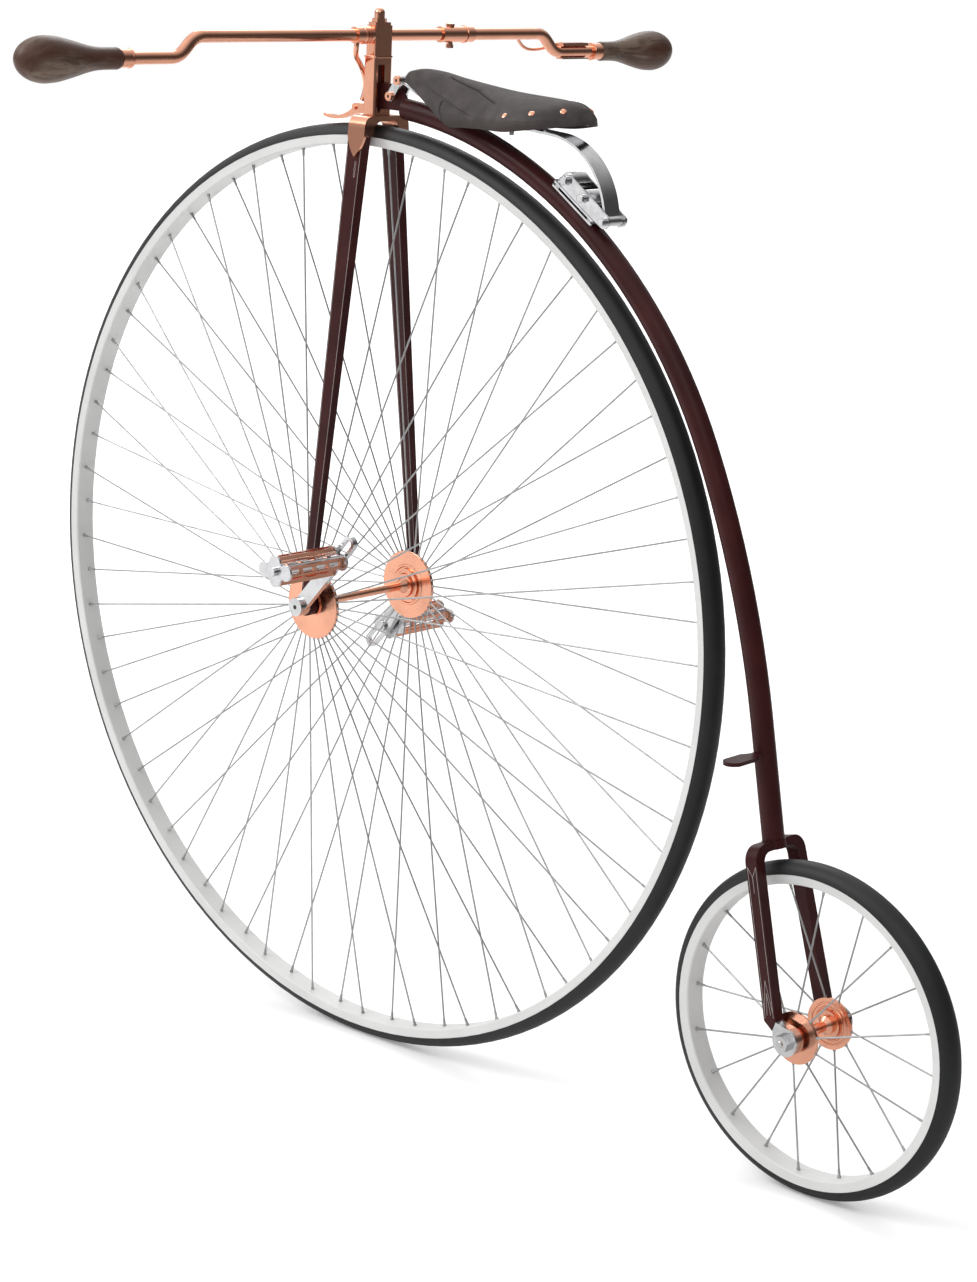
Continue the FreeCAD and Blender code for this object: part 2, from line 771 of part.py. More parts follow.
def make_backbone():
    """Round tube that follows the front wheel and runs straight down to the rear crown."""
    body = new_body("backbone")
    path = new_sketch(body, "backbone_line", "XZ_Plane")
    past = "2 * backbone_radius"
    bend = "backbone_bend_radius"
    draw_path(path, (
        (f"-{bend} * sin(backbone_start)", f"{bend} * cos(backbone_start)", bend),
        (f"-{bend} * sin(backbone_bend_end)", f"{bend} * cos(backbone_bend_end)", "tail_bend_radius"),
        (f"{BEND_AHEAD} - tail_bend_radius * sin({TAIL_ANGLE})",
         f"{BEND_UP} + tail_bend_radius * cos({TAIL_ANGLE})"),
        (f"{CROWN_AHEAD} - {past} * cos({TAIL_ANGLE})", f"{CROWN_UP} - {past} * sin({TAIL_ANGLE})"),
    ))
    section = section_on(body, path, "backbone_section")
    draw_circle(section, "0", "0", "backbone_radius")
    sweep(body, path, section, "backbone_tube")
    # A square that leans with the rear fork cuts off what would reach into its crown.
    side = "4 * backbone_radius"
    trim = new_sketch(body, "backbone_trim_outline", "XZ_Plane")
    draw_outline(trim, [on_rear_fork(f"rear_fork_ahead + {ahead} * {side}",
                                     f"rear_crown_top + seat_gap - {down} * {side}")
                        for ahead, down in ((-1, 0), (1, 0), (1, 1), (-1, 1))])
    pocket(body, trim, "backbone_trim", "4 * backbone_radius")
    return place_about(body, "front axle")


# Heights of the spring link's two bolts, along the steering axis from the front axle.
LINK_LOW_UP = "(neck_low + link_low_rise)"
LINK_HIGH_UP = "(neck_low + link_low_rise + link_high_rise)"


def make_neck():
    """Plate that leaves the backbone's end and holds the steering spindle."""
    body = new_body("backbone_neck")
    plate = new_sketch(body, "neck_outline", "XZ_Plane")
    lean = "tan(backbone_start - rake)"
    middle = "((neck_rear_high + neck_low) / 2)"
    draw_outline(plate, (
        ("0", "neck_low"),
        ("0", "neck_high"),
        ("neck_slope - neck_reach", "neck_high"),
        (f"-neck_reach - (neck_rear_high - {middle}) * {lean}", "neck_rear_high"),
        (f"-neck_reach + ({middle} - neck_low) * {lean}", "neck_low"),
    ))
    pad(body, plate, "neck_plate", "neck_thickness")
    spindle = new_sketch(body, "spindle_outline", "XZ_Plane")
    low = "crown_high + head_floor / 2 + seat_gap"
    high = "head_top + head_floor / 2 - seat_gap"
    draw_outline(spindle, (("0", low), ("spindle_radius", low), ("spindle_radius", high), ("0", high)))
    revolve(body, spindle, "spindle", "V_Axis")
    hole = new_sketch(body, "neck_bolt_hole_outline", "XZ_Plane")
    draw_circle(hole, "-link_low_place", LINK_LOW_UP, "link_bolt_radius + running_fit")
    pocket(body, hole, "neck_bolt_hole", "2 * neck_thickness")
    return place_about(body, *STEERED)


def make_step():
    """Mounting step: a flat tongue with a narrow stem and a round end, left of the backbone."""
    body = new_body("mounting_step")
    half = "(step_width / 2)"
    stem = "(step_stem_width / 2)"
    straight = f"step_reach - {half}"
    tongue = new_sketch(body, "step_outline", "XY_Plane")
    draw_outline(tongue, (
        (stem, "0"),
        (stem, "step_stem_reach"),
        (half, "step_tread_start"),
        (half, straight, half),
        ("0", "step_reach", half),
        (f"-{half}", straight),
        (f"-{half}", "step_tread_start"),
        (f"-{stem}", "step_stem_reach"),
        (f"-{stem}", "0"),
    ))
    pad(body, tongue, "step_tongue", "step_thickness")
    root = new_sketch(body, "step_root_outline", "XY_Plane")
    draw_circle(root, "0", "0", "backbone_radius + step_root_gap")
    pocket(body, root, "step_root", "4 * step_thickness")
    bind(body, "Placement.Base.x", f"axle_ahead + {CROWN_AHEAD} + step_above_crown * cos({TAIL_ANGLE})")
    bind(body, "Placement.Base.z", f"-axle_below + {CROWN_UP} + step_above_crown * sin({TAIL_ANGLE})")
    return body


def make_rear_fork():
    """Strap bent over the rear wheel, with a boss for the backbone and pointed blade ends."""
    body = new_body("rear_fork")
    strap = new_sketch(body, "rear_strap_outline", "YZ_Plane", "rear_fork_ahead")
    outer_top = "rear_crown_half_span"
    inner_top = "(rear_crown_half_span - rear_blade_thickness)"
    under = "(rear_crown_top - rear_crown_thickness)"
    foot = "0"
    draw_outline(strap, both_sides((
        (f"{outer_top} - rear_crown_corner", "rear_crown_top", "-rear_crown_corner"),
        (outer_top, "rear_crown_top - rear_crown_corner"),
        ("rear_blade_foot", foot),
        ("rear_blade_foot - rear_blade_thickness", foot),
        (inner_top, f"{under} - rear_crown_inner_corner", "rear_crown_inner_corner"),
        (f"{inner_top} - rear_crown_inner_corner", under),
    )))
    pad(body, strap, "rear_strap", "rear_blade_width")
    boss = new_sketch(body, "rear_boss_outline", "XY_Plane", "rear_crown_top - rear_crown_thickness / 2")
    draw_circle(boss, "rear_fork_ahead", "0", "rear_crown_boss")
    pad(body, boss, "rear_boss", "rear_crown_thickness")
    # The blades end in a point ahead of the axle, and their lugs lie against its rear side.
    low = "-rear_blade_width"
    front = "rear_fork_ahead + rear_blade_width / 2"
    rear = "rear_fork_ahead - rear_blade_width / 2"
    ends = new_sketch(body, "rear_blade_end_outline", "XZ_Plane")
    draw_outline(ends, (
        (rear, "rear_blade_rear_end"),
        (rear, low),
        (front, low),
        (front, "rear_blade_front_end"),
        ("rear_blade_point_ahead", "rear_blade_point"),
    ))
    pocket(body, ends, "rear_blade_ends", "4 * rear_blade_foot")
    return place_about(body, *REAR_LEAN)


def make_frame():
    """Backbone with its neck and step, and the rear fork."""
    make_backbone()
    make_neck()
    make_step()
    make_rear_fork()


# ---------------------------------------------------------------------------
# Front fork, head and handlebar
# ---------------------------------------------------------------------------
def make_fork_crown():
    """Arched crown with pointed lugs that lie down the outside of the blades."""
    body = new_body("fork_crown")
    slope = "((blade_tip_place - blade_top_place) / (blade_top - blade_tip))"
    outer_top = "(blade_top_place + blade_top_thickness / 2 + seat_gap)"
    lug_inner = f"({outer_top} + (blade_top - lug_tip) * {slope})"
    inner = "(blade_top_place - blade_top_thickness / 2)"
    socket = "(blade_top + seat_gap)"
    arch = new_sketch(body, "crown_arch_outline", "YZ_Plane", "-crown_back")
    draw_outline(arch, both_sides((
        ("crown_shoulder - crown_corner", "crown_high", "-crown_corner"),
        ("crown_shoulder", "crown_high - crown_corner"),
        (f"{lug_inner} + lug_thickness", "lug_tip"),
        (lug_inner, "lug_tip"),
        (outer_top, socket),
        (inner, socket),
        (inner, "crown_low - crown_corner", "crown_corner"),
        (f"{inner} - crown_corner", "crown_low"),
    )))
    pad(body, arch, "crown_arch", "crown_depth")
    for side, name in ((1, "front"), (-1, "rear")):
        edge = f"{side} * crown_depth / 2 - crown_back"
        far = f"{side} * crown_depth - crown_back"
        leaf = new_sketch(body, f"lug_{name}_outline", "XZ_Plane")
        draw_outline(leaf, (
            (edge, socket, "lug_round" if side < 0 else "-lug_round"),
            ("-crown_back", "lug_tip + lug_point"),
            ("-crown_back", "lug_tip - lug_thickness"),
            (far, "lug_tip - lug_thickness"),
            (far, socket),
        ))
        pocket(body, leaf, f"lug_{name}_cut", "4 * crown_shoulder")
    return place_about(body, *STEERED)


def make_blade(name, side):
    """Tapered flat blade from the crown to the eye that runs on the front axle."""
    body = new_body(name)
    sections = []
    for end in ("tip", "top"):
        sketch = new_sketch(body, f"{name}_{end}_section", "XY_Plane", f"blade_{end}")
        half_width = f"blade_{end}_width / 2"
        near = f"{side} * (blade_{end}_place - blade_{end}_thickness / 2)"
        far = f"{side} * (blade_{end}_place + blade_{end}_thickness / 2)"
        draw_outline(sketch, ((half_width, near), (half_width, far),
                              (f"-{half_width}", far), (f"-{half_width}", near)))
        sections.append(sketch)
    doc.recompute()
    loft = body.newObject("PartDesign::AdditiveLoft", f"{name}_loft")
    loft.Profile = sections[0]
    loft.Sections = [sections[1]]
    doc.recompute()
    eye = new_sketch(body, f"{name}_eye_outline", "XZ_Plane", f"-{side} * blade_tip_place")
    draw_circle(eye, "0", "0", "bearing_radius")
    pad(body, eye, f"{name}_eye", "bearing_thickness")
    bore = new_sketch(body, f"{name}_bore_outline", "XZ_Plane", f"-{side} * blade_tip_place")
    draw_circle(bore, "0", "0", "front_journal_radius + running_fit")
    pocket(body, bore, f"{name}_bore", "2 * bearing_thickness")
    return place_about(body, *STEERED)


def rounded_rectangle(half_across, half_up, corner, middle="0"):
    """Rows of a rectangle with round corners, about a middle on the sketch's own axis."""
    rows = []
    for across, up, top_first in ((1, 1, False), (-1, 1, True), (-1, -1, False), (1, -1, True)):
        on_side = (f"{middle} + {across} * ({half_across})", f"{up} * ({half_up} - {corner})")
        on_top = (f"{middle} + {across} * ({half_across} - {corner})", f"{up} * ({half_up})")
        first, second = (on_top, on_side) if top_first else (on_side, on_top)
        rows.append(first + (corner,))
        rows.append(second)
    return rows


def make_head():
    """Square head with a hollow for the spindle and a slot at the rear for the neck."""
    body = new_body("steering_head")
    wall = new_sketch(body, "head_wall_outline", "XY_Plane", "(crown_high + head_top) / 2")
    draw_outline(wall, rounded_rectangle("head_depth / 2", "head_width / 2", "head_corner"))
    pad(body, wall, "head_wall", "head_top - crown_high")
    floor = "(crown_high + head_floor)"
    hollow = new_sketch(body, "head_hollow_outline", "XY_Plane", f"({floor} + head_top) / 2")
    draw_circle(hollow, "0", "0", "head_hollow")
    pocket(body, hollow, "head_hollow", f"head_top - {floor}")
    socket = new_sketch(body, "head_socket_outline", "XY_Plane", floor)
    draw_circle(socket, "0", "0", "spindle_radius + running_fit")
    pocket(body, socket, "head_socket", "head_floor")
    # The slot is a wedge as wide as the neck's plate needs over the steering range.
    plate_angle = "asin(neck_thickness / 2 / head_hollow) / 1 deg"
    half_angle = f"(steering_range + {plate_angle} + slot_clearance)"
    wedge = new_sketch(body, "head_slot_outline", "XY_Plane", "(slot_low + slot_high) / 2")
    reach = "head_depth"
    draw_outline(wedge, (
        ("0", "0"),
        (f"-{reach}", f"{reach} * tan({half_angle})"),
        (f"-{reach}", f"-{reach} * tan({half_angle})"),
    ))
    pocket(body, wedge, "head_slot", "slot_high - slot_low")
    return place_about(body, *STEERED)


# The block is less deep than the head, and flush with it at the rear.
BLOCK_MIDDLE = "-(head_depth - block_depth) / 2"


def make_head_block():
    """Block over the head: it holds the bar and the top end of the spindle."""
    body = new_body("head_block")
    block = new_sketch(body, "block_outline", "XY_Plane", "head_top + block_height / 2")
    draw_outline(block, rounded_rectangle("block_depth / 2", "block_width / 2", "block_corner",
                                          BLOCK_MIDDLE))
    pad(body, block, "block", "block_height")
    bore = new_sketch(body, "block_bar_outline", "XZ_Plane")
    draw_circle(bore, "0", "bar_height", "bar_radius + running_fit")
    pocket(body, bore, "block_bar_hole", "2 * block_width")
    socket = new_sketch(body, "block_socket_outline", "XY_Plane", "head_top")
    draw_circle(socket, "0", "0", "spindle_radius + running_fit")
    pocket(body, socket, "block_socket", "head_floor")
    return place_about(body, *STEERED)


def make_head_nut():
    """Plate, hexagon and domed nut on top of the block."""
    body = new_body("head_nut")
    top = "head_top + block_height"
    plate = new_sketch(body, "cap_plate_outline", "XY_Plane", f"{top} + cap_plate_height / 2")
    draw_outline(plate, rounded_rectangle("block_depth / 2 - cap_plate_inset",
                                          "block_width / 2 - cap_plate_inset", "block_corner",
                                          BLOCK_MIDDLE))
    pad(body, plate, "cap_plate", "cap_plate_height")
    hexagon_height = f"{top} + cap_plate_height + cap_hex_height / 2"
    nut = new_sketch(body, "cap_hex_outline", "XY_Plane", hexagon_height)
    draw_outline(nut, hexagon("cap_hex_flats"))
    pad(body, nut, "cap_hex", "cap_hex_height")
    dome = new_sketch(body, "cap_dome_outline", "XZ_Plane")
    base = f"{top} + cap_plate_height + cap_hex_height"
    draw_outline(dome, (
        ("0", base),
        ("cap_dome_radius", base),
        ("cap_dome_radius", f"{base} + cap_dome_height - cap_dome_radius", "cap_dome_radius"),
        ("0", f"{base} + cap_dome_height"),
    ))
    revolve(body, dome, "cap_dome", "V_Axis")
    return place_about(body, *STEERED)


# Height of the bar's outer ends on the steering axis.
BAR_LOW = "bar_height - 2 * bar_bend_radius * (1 - cos(bar_bend_turn)) - bar_bend_run * sin(bar_bend_turn)"


def make_handlebar():
    """Bent bar: straight through the block, down a bend on each side and straight again."""
    body = new_body("handlebar")
    path = new_sketch(body, "bar_line", "YZ_Plane")
    bends = "(2 * bar_bend_radius * sin(bar_bend_turn) + bar_bend_run * cos(bar_bend_turn))"
    draw_path(path, route(("0", "bar_height"), "0", (
        ("bar_half_straight",),
        ("-bar_bend_radius", "-bar_bend_turn"),
        ("bar_bend_run",),
        ("bar_bend_radius", "bar_bend_turn"),
        (f"(bar_half_length - bar_half_straight - {bends})",),
    )))
    section = section_on(body, path, "bar_section")
    draw_circle(section, "0", "0", "bar_radius")
    half = sweep(body, path, section, "bar_half")
    mirror = body.newObject("PartDesign::Mirrored", "bar_other_half")
    mirror.Originals = [half]
    mirror.MirrorPlane = (plane_of(body, "XZ_Plane"), [""])
    body.Tip = mirror
    return place_about(body, *STEERED)


def make_sleeves(name, places, height):
    """Round sleeves on the bar: rows of (start, end, outer radius) along it."""
    body = new_body(name)
    for number, (start, end, outer) in enumerate(places, start=1):
        sketch = new_sketch(body, f"{name}_outline_{number}", "XZ_Plane", f"-({start} + {end}) / 2")
        draw_circle(sketch, "0", height, outer)
        draw_circle(sketch, "0", height, "bar_radius + running_fit")
        pad(body, sketch, f"{name}_{number}", f"{end} - ({start})")
    return place_about(body, *STEERED)


def flip(turn):
    """The same arc, seen from the other side of its sketch."""
    return turn[1:] if turn.startswith("-") else "-" + turn


def make_grip(name, side):
    """Pear-shaped wooden grip, bored for the bar's end."""
    body = new_body(name)
    sketch = new_sketch(body, name + "_outline", "YZ_Plane")
    bore = "bar_radius + running_fit"
    bore_end = "bar_half_length + grip_bore_end_gap"
    profile = (
        ("grip_start", bore),
        (bore_end, bore),
        (bore_end, "0"),
        ("grip_end", "0"),
        ("grip_end", "grip_tip_radius", "grip_tip_round"),
        ("grip_belly", "grip_radius", "grip_shoulder_radius"),
        ("grip_flank", "grip_flank_bulge", "-grip_flank_radius"),
        ("grip_neck_end", "grip_neck_radius"),
        ("grip_start", "grip_start_radius"),
    )
    rows = []
    for place, radius, *turns in profile:
        turns = turns if side > 0 else [flip(turn) for turn in turns]
        rows.append((f"{side} * ({place})", radius, *turns))
    draw_outline(sketch, rows)
    revolve(body, sketch, name + "_turn", "H_Axis")
    # The grip is drawn about the Y axis, so it is lifted to the bar's outer height.
    place_about(body, *STEERED)
    bind(body, "Placement.Base.x", f"axle_ahead - ({BAR_LOW}) * sin(rake)")
    bind(body, "Placement.Base.z", f"-axle_below + ({BAR_LOW}) * cos(rake)")
    return body


def make_spoon():
    """Brake spoon: a lever from its pivot forward over the tyre."""
    body = new_body("brake_spoon")
    arm = new_sketch(body, "spoon_outline", "XZ_Plane")
    reach = "brake_pivot_reach"
    height = "brake_pivot_height"
    draw_outline(arm, (
        (reach, f"{height} - brake_pivot_radius", "spoon_low_round"),
        (f"{reach} + spoon_reach", f"{height} - spoon_drop - spoon_thickness", "spoon_tip_round"),
        (f"{reach} + spoon_reach", f"{height} - spoon_drop", "-spoon_high_round"),
        (reach, f"{height} + brake_pivot_radius", "brake_pivot_radius"),
        (f"{reach} - brake_pivot_radius", height, "brake_pivot_radius"),
    ))
    pad(body, arm, "spoon", "spoon_width")
    bore = new_sketch(body, "spoon_bore_outline", "XZ_Plane")
    draw_circle(bore, reach, height, "brake_pin_radius + running_fit")
    pocket(body, bore, "spoon_bore", "2 * spoon_width")
    return place_about(body, *STEERED)


def make_brake_lug():
    """Forked lug on the head's front, with the pin that the spoon turns on."""
    body = new_body("brake_lug")
    reach = "brake_pivot_reach"
    height = "brake_pivot_height"
    round_end = "brake_pivot_radius"
    root = "head_depth / 2 + seat_gap"
    width = "spoon_width + 2 * seat_gap + 2 * brake_cheek_thickness"
    lug = new_sketch(body, "brake_lug_outline", "XZ_Plane")
    draw_outline(lug, (
        (root, f"{height} - {round_end}"),
        (reach, f"{height} - {round_end}", round_end),
        (f"{reach} + {round_end}", height, round_end),
        (reach, f"{height} + {round_end}"),
        (root, f"{height} + {round_end}"),
    ))
    pad(body, lug, "brake_lug_block", width)
    fork = new_sketch(body, "brake_lug_fork_outline", "XZ_Plane")
    mouth = f"{root} + brake_lug_root"
    draw_outline(fork, (
        (mouth, f"{height} - 2 * {round_end}"),
        (f"{reach} + 2 * {round_end}", f"{height} - 2 * {round_end}"),
        (f"{reach} + 2 * {round_end}", f"{height} + 2 * {round_end}"),
        (mouth, f"{height} + 2 * {round_end}"),
    ))
    pocket(body, fork, "brake_lug_fork", "spoon_width + 2 * seat_gap")
    pin = new_sketch(body, "brake_pin_outline", "XZ_Plane")
    draw_circle(pin, reach, height, "brake_pin_radius")
    pad(body, pin, "brake_pin", f"{width} + 2 * brake_cheek_thickness")
    return place_about(body, *STEERED)


BRAKE_ROD_ROUTE = (
    # ahead, left and up from the front axle, along the steering axis
    ("0", "bar_collar_end - 2 * brake_rod_radius", "bar_height - bar_collar_radius - brake_rod_end_gap"),
    ("head_depth / 4", "bar_collar_end - 4 * brake_rod_radius", "head_top + brake_rod_radius"),
    ("head_depth / 2 + 2 * brake_rod_radius", "block_width / 2", "head_top - brake_rod_radius"),
    ("head_depth / 2 + 2 * brake_rod_radius", "brake_rod_radius", "head_top - 5 * brake_rod_radius"),
    ("head_depth / 2 + 2 * brake_rod_radius", "0", "head_top - 11 * brake_rod_radius"),
    ("brake_pivot_reach", "0", "brake_pivot_height + brake_pivot_radius + brake_rod_end_gap"),
)


def make_brake_rod():
    """Rod from the collar beside the head round to its front and down to the spoon."""
    points = [Vector(*(amount_of(place) for place in row)) for row in BRAKE_ROD_ROUTE]
    line = bent_line(points, amount_of("brake_rod_bend"))
    round_section = Part.Circle(points[0], points[1] - points[0], amount_of("brake_rod_radius"))
    rod = line.makePipeShell([Part.Wire([round_section.toShape()])], True, True)
    return new_feature("brake_rod", rod, *STEERED)


def make_brake_lever():
    """Lever of flat strip: a collar on the right half of the bar and a hand strip before it."""
    body = new_body("brake_lever")
    middle = "lever_start + lever_collar_length / 2"
    collar = new_sketch(body, "lever_collar_outline", "XZ_Plane", middle)
    draw_circle(collar, "0", "bar_height", "lever_collar_radius")
    pad(body, collar, "lever_collar", "lever_collar_length")
    strip = new_sketch(body, "lever_strip_outline", "YZ_Plane", "lever_place")
    half = "lever_thickness / 2"
    draw_outline(strip, (
        ("-lever_start", f"bar_height + {half}"),
        ("-lever_start", f"bar_height - {half}"),
        ("-lever_start - lever_collar_length", f"bar_height - {half}"),
        ("-lever_elbow", f"lever_low - {half}"),
        ("-lever_end", f"lever_low - {half}"),
        ("-lever_end", f"lever_low + {half}"),
        ("-lever_elbow", f"lever_low + {half}"),
        ("-lever_start - lever_collar_length", f"bar_height + {half}"),
    ))
    pad(body, strip, "lever_strip", "lever_width")
    bore = new_sketch(body, "lever_bore_outline", "XZ_Plane", middle)
    draw_circle(bore, "0", "bar_height", "bar_radius + running_fit")
    pocket(body, bore, "lever_bore", "2 * lever_collar_length")
    return place_about(body, *STEERED)


def make_front_end():
    """Everything that turns with the steering, apart from the front wheel."""
    make_fork_crown()
    make_blade("fork_blade_left", 1)
    make_blade("fork_blade_right", -1)
    make_head()
    make_head_block()
    make_head_nut()
    make_handlebar()
    make_sleeves("bar_sleeves", (
        ("-bar_sleeve_end", "-bar_sleeve_start", "bar_sleeve_radius"),
        ("block_width / 2 + seat_gap", "bar_collar_end", "bar_collar_radius"),
    ), "bar_height")
    outer, inner = "grip_start - seat_gap", "grip_start - seat_gap - ferrule_length"
    make_sleeves("grip_ferrules", (
        (inner, outer, "ferrule_radius"),
        (f"-({outer})", f"-({inner})", "ferrule_radius"),
    ), BAR_LOW)
    make_grip("grip_left", 1)
    make_grip("grip_right", -1)
    make_spoon()
    make_brake_lug()
    make_brake_rod()
    make_brake_lever()


# ---------------------------------------------------------------------------
# Cranks and pedals
# ---------------------------------------------------------------------------
CRANK_TURNS = {1: "180 + crank_angle", -1: "crank_angle"}


def make_crank(name, side):
    """Flat crank with a round boss on the axle and a long slot for the pedal."""
    body = new_body(name)
    arm = new_sketch(body, f"{name}_outline", "XZ_Plane", f"-{side} * crank_place")
    end = "crank_slot_end"
    half = "crank_half_width"
    draw_outline(arm, (
        ("0", half),
        (end, half, f"-{half}"),
        (f"{end} + {half}", "0", f"-{half}"),
        (end, f"-{half}"),
        ("0", f"-{half}"),
    ))
    pad(body, arm, f"{name}_arm", "crank_thickness")
    boss = new_sketch(body, f"{name}_boss_outline", "XZ_Plane",
                      f"-{side} * (crank_boss_start + crank_boss_end) / 2")
    draw_circle(boss, "0", "0", "crank_boss_radius")
    pad(body, boss, f"{name}_boss", "crank_boss_end - crank_boss_start")
    slot = new_sketch(body, f"{name}_slot_outline", "XZ_Plane", f"-{side} * crank_place")
    wide = "crank_slot_half_width"
    draw_outline(slot, (
        ("pedal_throw", wide),
        (end, wide, f"-{wide}"),
        (f"{end} + {wide}", "0", f"-{wide}"),
        (end, f"-{wide}"),
        ("pedal_throw", f"-{wide}", f"-{wide}"),
        (f"pedal_throw - {wide}", "0", f"-{wide}"),
    ))
    pocket(body, slot, f"{name}_slot", "2 * crank_thickness")
    # The boss is closed outside the axle's end.
    bore = new_sketch(body, f"{name}_bore_outline", "XZ_Plane", f"-{side} * crank_boss_start")
    draw_circle(bore, "0", "0", "front_journal_radius + running_fit")
    pocket(body, bore, f"{name}_bore", "2 * (crank_boss_end - crank_cap - crank_boss_start)")
    return place_about(body, "front axle", CRANK_TURNS[side])


def place_pedal(body, side):
    """Put a body at the outer end of its crank."""
    bind(body, "Placement.Base.x", f"axle_ahead - {side} * pedal_throw * cos(crank_angle)")
    bind(body, "Placement.Base.z", f"-axle_below + {side} * pedal_throw * sin(crank_angle)")
    return body


SPINDLE_STEPS = (
    # name, start and end outward from the wheel's middle, radius
    ("head", "crank_place - crank_thickness / 2 - pedal_head_length",
     "crank_place - crank_thickness / 2 - seat_gap", "pedal_collar_radius"),
    ("rod", "crank_place - crank_thickness / 2 - pedal_head_length",
     "pedal_end + seat_gap + pedal_spindle_bare", "pedal_spindle_radius"),
    ("collar", "crank_place + crank_thickness / 2 + seat_gap",
     "crank_place + crank_thickness / 2 + pedal_collar_length", "pedal_collar_radius"),
    ("nut", "pedal_end + seat_gap", "pedal_end + seat_gap + pedal_nut_length", "pedal_nut_flats / 2"),
)


def make_pedal_spindles():
    """Spindles clamped in the cranks' slots by a head inside and a collar outside."""
    body = new_body("pedal_spindles")
    for side, word in ((1, "left"), (-1, "right")):
        for name, start, end, radius in SPINDLE_STEPS:
            sketch = new_sketch(body, f"spindle_{word}_{name}_outline", "XZ_Plane",
                                f"-{side} * ({start} + {end}) / 2")
            draw_circle(sketch, f"-{side} * pedal_throw", "0", radius)
            pad(body, sketch, f"spindle_{word}_{name}", f"{end} - ({start})")
    return place_about(body, "front axle", "crank_angle")


PEDAL_LOBES = (
    # forward, up, as shares of the lobes' reach and rise
    (1, 0),
    (0, 1),
    (-1, 0),
    (0, -1),
)


def make_pedal_frame(name, side):
    """Two four-lobed end plates on a barrel that turns on the spindle."""
    body = new_body(name)
    thick = "pedal_plate_thickness"
    for end, place in (("inner", f"pedal_start + {thick} / 2"), ("outer", f"pedal_end - {thick} / 2")):
        lift = f"-{side} * ({place})"
        for number, (ahead, up) in enumerate(PEDAL_LOBES, start=1):
            lobe = new_sketch(body, f"{name}_{end}_lobe_{number}", "XZ_Plane", lift)
            draw_circle(lobe, f"{ahead} * pedal_lobe_reach", f"{up} * pedal_lobe_rise",
                        "pedal_lobe_radius")
            pad(body, lobe, f"{name}_{end}_plate_{number}", thick)
        hub = new_sketch(body, f"{name}_{end}_hub", "XZ_Plane", lift)
        draw_circle(hub, "0", "0", "pedal_lobe_radius + pedal_lobe_rise / 2")
        pad(body, hub, f"{name}_{end}_plate", thick)
    barrel = new_sketch(body, f"{name}_barrel_outline", "XZ_Plane",
                        f"-{side} * (pedal_start + pedal_end) / 2")
    draw_circle(barrel, "0", "0", "pedal_barrel_radius")
    pad(body, barrel, f"{name}_barrel", f"pedal_end - pedal_start - {thick}")
    bore = new_sketch(body, f"{name}_bore_outline", "XZ_Plane",
                      f"-{side} * (pedal_start + pedal_end) / 2")
    draw_circle(bore, "0", "0", "pedal_spindle_radius + running_fit")
    pocket(body, bore, f"{name}_bore", "2 * pedal_end - 2 * pedal_start")
    return place_pedal(body, side)


def make_pedal_bars(name, side):
    """Four bars between a pedal's end plates, one at each lobe, with a row of windows in each."""
    body = new_body(name)
    start = "(pedal_start + pedal_plate_thickness + seat_gap)"
    end = "(pedal_end - pedal_plate_thickness - seat_gap)"
    middle = f"-{side} * ({start} + {end}) / 2"
    half_thick, half_deep = "pedal_bar_thickness / 2", "pedal_bar_depth / 2"
    for number, (ahead, up) in enumerate(PEDAL_LOBES, start=1):
        half_across, half_up = (half_thick, half_deep) if ahead else (half_deep, half_thick)
        across = f"{ahead} * pedal_lobe_reach"
        above = f"{up} * pedal_bar_rise"
        bar = new_sketch(body, f"{name}_bar_{number}_outline", "XZ_Plane", middle)
        draw_outline(bar, [(f"{across} + {east} * {half_across}", f"{above} + {north} * {half_up}")
                           for east, north in ((1, 1), (-1, 1), (-1, -1), (1, -1))])
        pad(body, bar, f"{name}_bar_{number}", f"{end} - {start}")
    # Each row of windows goes through both bars that face its way.
    many = round(amount_of("pedal_windows"))
    pitch = f"(({end} - {start} - pedal_bar_rail) / pedal_windows)"
    half_open = "(pedal_bar_depth / 2 - pedal_bar_rail)"
    for role, word in (("YZ_Plane", "side"), ("XY_Plane", "top")):
        for number in range(many):
            low = f"{side} * ({start} + pedal_bar_rail + {number} * {pitch})"
            high = f"{side} * ({start} + {number + 1} * {pitch})"
            corners = ((low, half_open), (high, half_open), (high, f"-{half_open}"), (low, f"-{half_open}"))
            rows = corners if role == "YZ_Plane" else [(far, along) for along, far in corners]
            window = new_sketch(body, f"{name}_{word}_window_{number + 1}", role)
            draw_outline(window, rows)
            pocket(body, window, f"{name}_{word}_gap_{number + 1}", "4 * pedal_lobe_reach")
    return place_pedal(body, side)


def make_drive():
    """Cranks, spindles and pedals on both sides."""
    for word, side in (("left", 1), ("right", -1)):
        make_crank(f"crank_{word}", side)
        make_pedal_frame(f"pedal_{word}", side)
        make_pedal_bars(f"pedal_bars_{word}", side)
    make_pedal_spindles()


# ---------------------------------------------------------------------------
# Saddle and spring
# ---------------------------------------------------------------------------
SADDLE_SECTIONS = (
    # ahead of the seat, half width, crown height, shoulder height, lower edge
    (190.0, 10.0, 26.0, 22.0, 17.0),
    (168.0, 19.0, 30.0, 18.5, 5.0),
    (130.0, 25.5, 26.0, 7.0, -18.0),
    (95.0, 29.5, 16.5, -6.0, -40.0),
    (50.0, 40.0, 6.0, -23.0, -40.0),
    (-25.0, 72.0, -6.0, -32.0, -42.0),
    (-80.0, 88.0, -13.0, -30.0, -38.0),
    (-104.0, 70.0, -17.0, -28.0, -31.0),
    (-112.0, 45.0, -19.0, -25.0, -28.0),
)


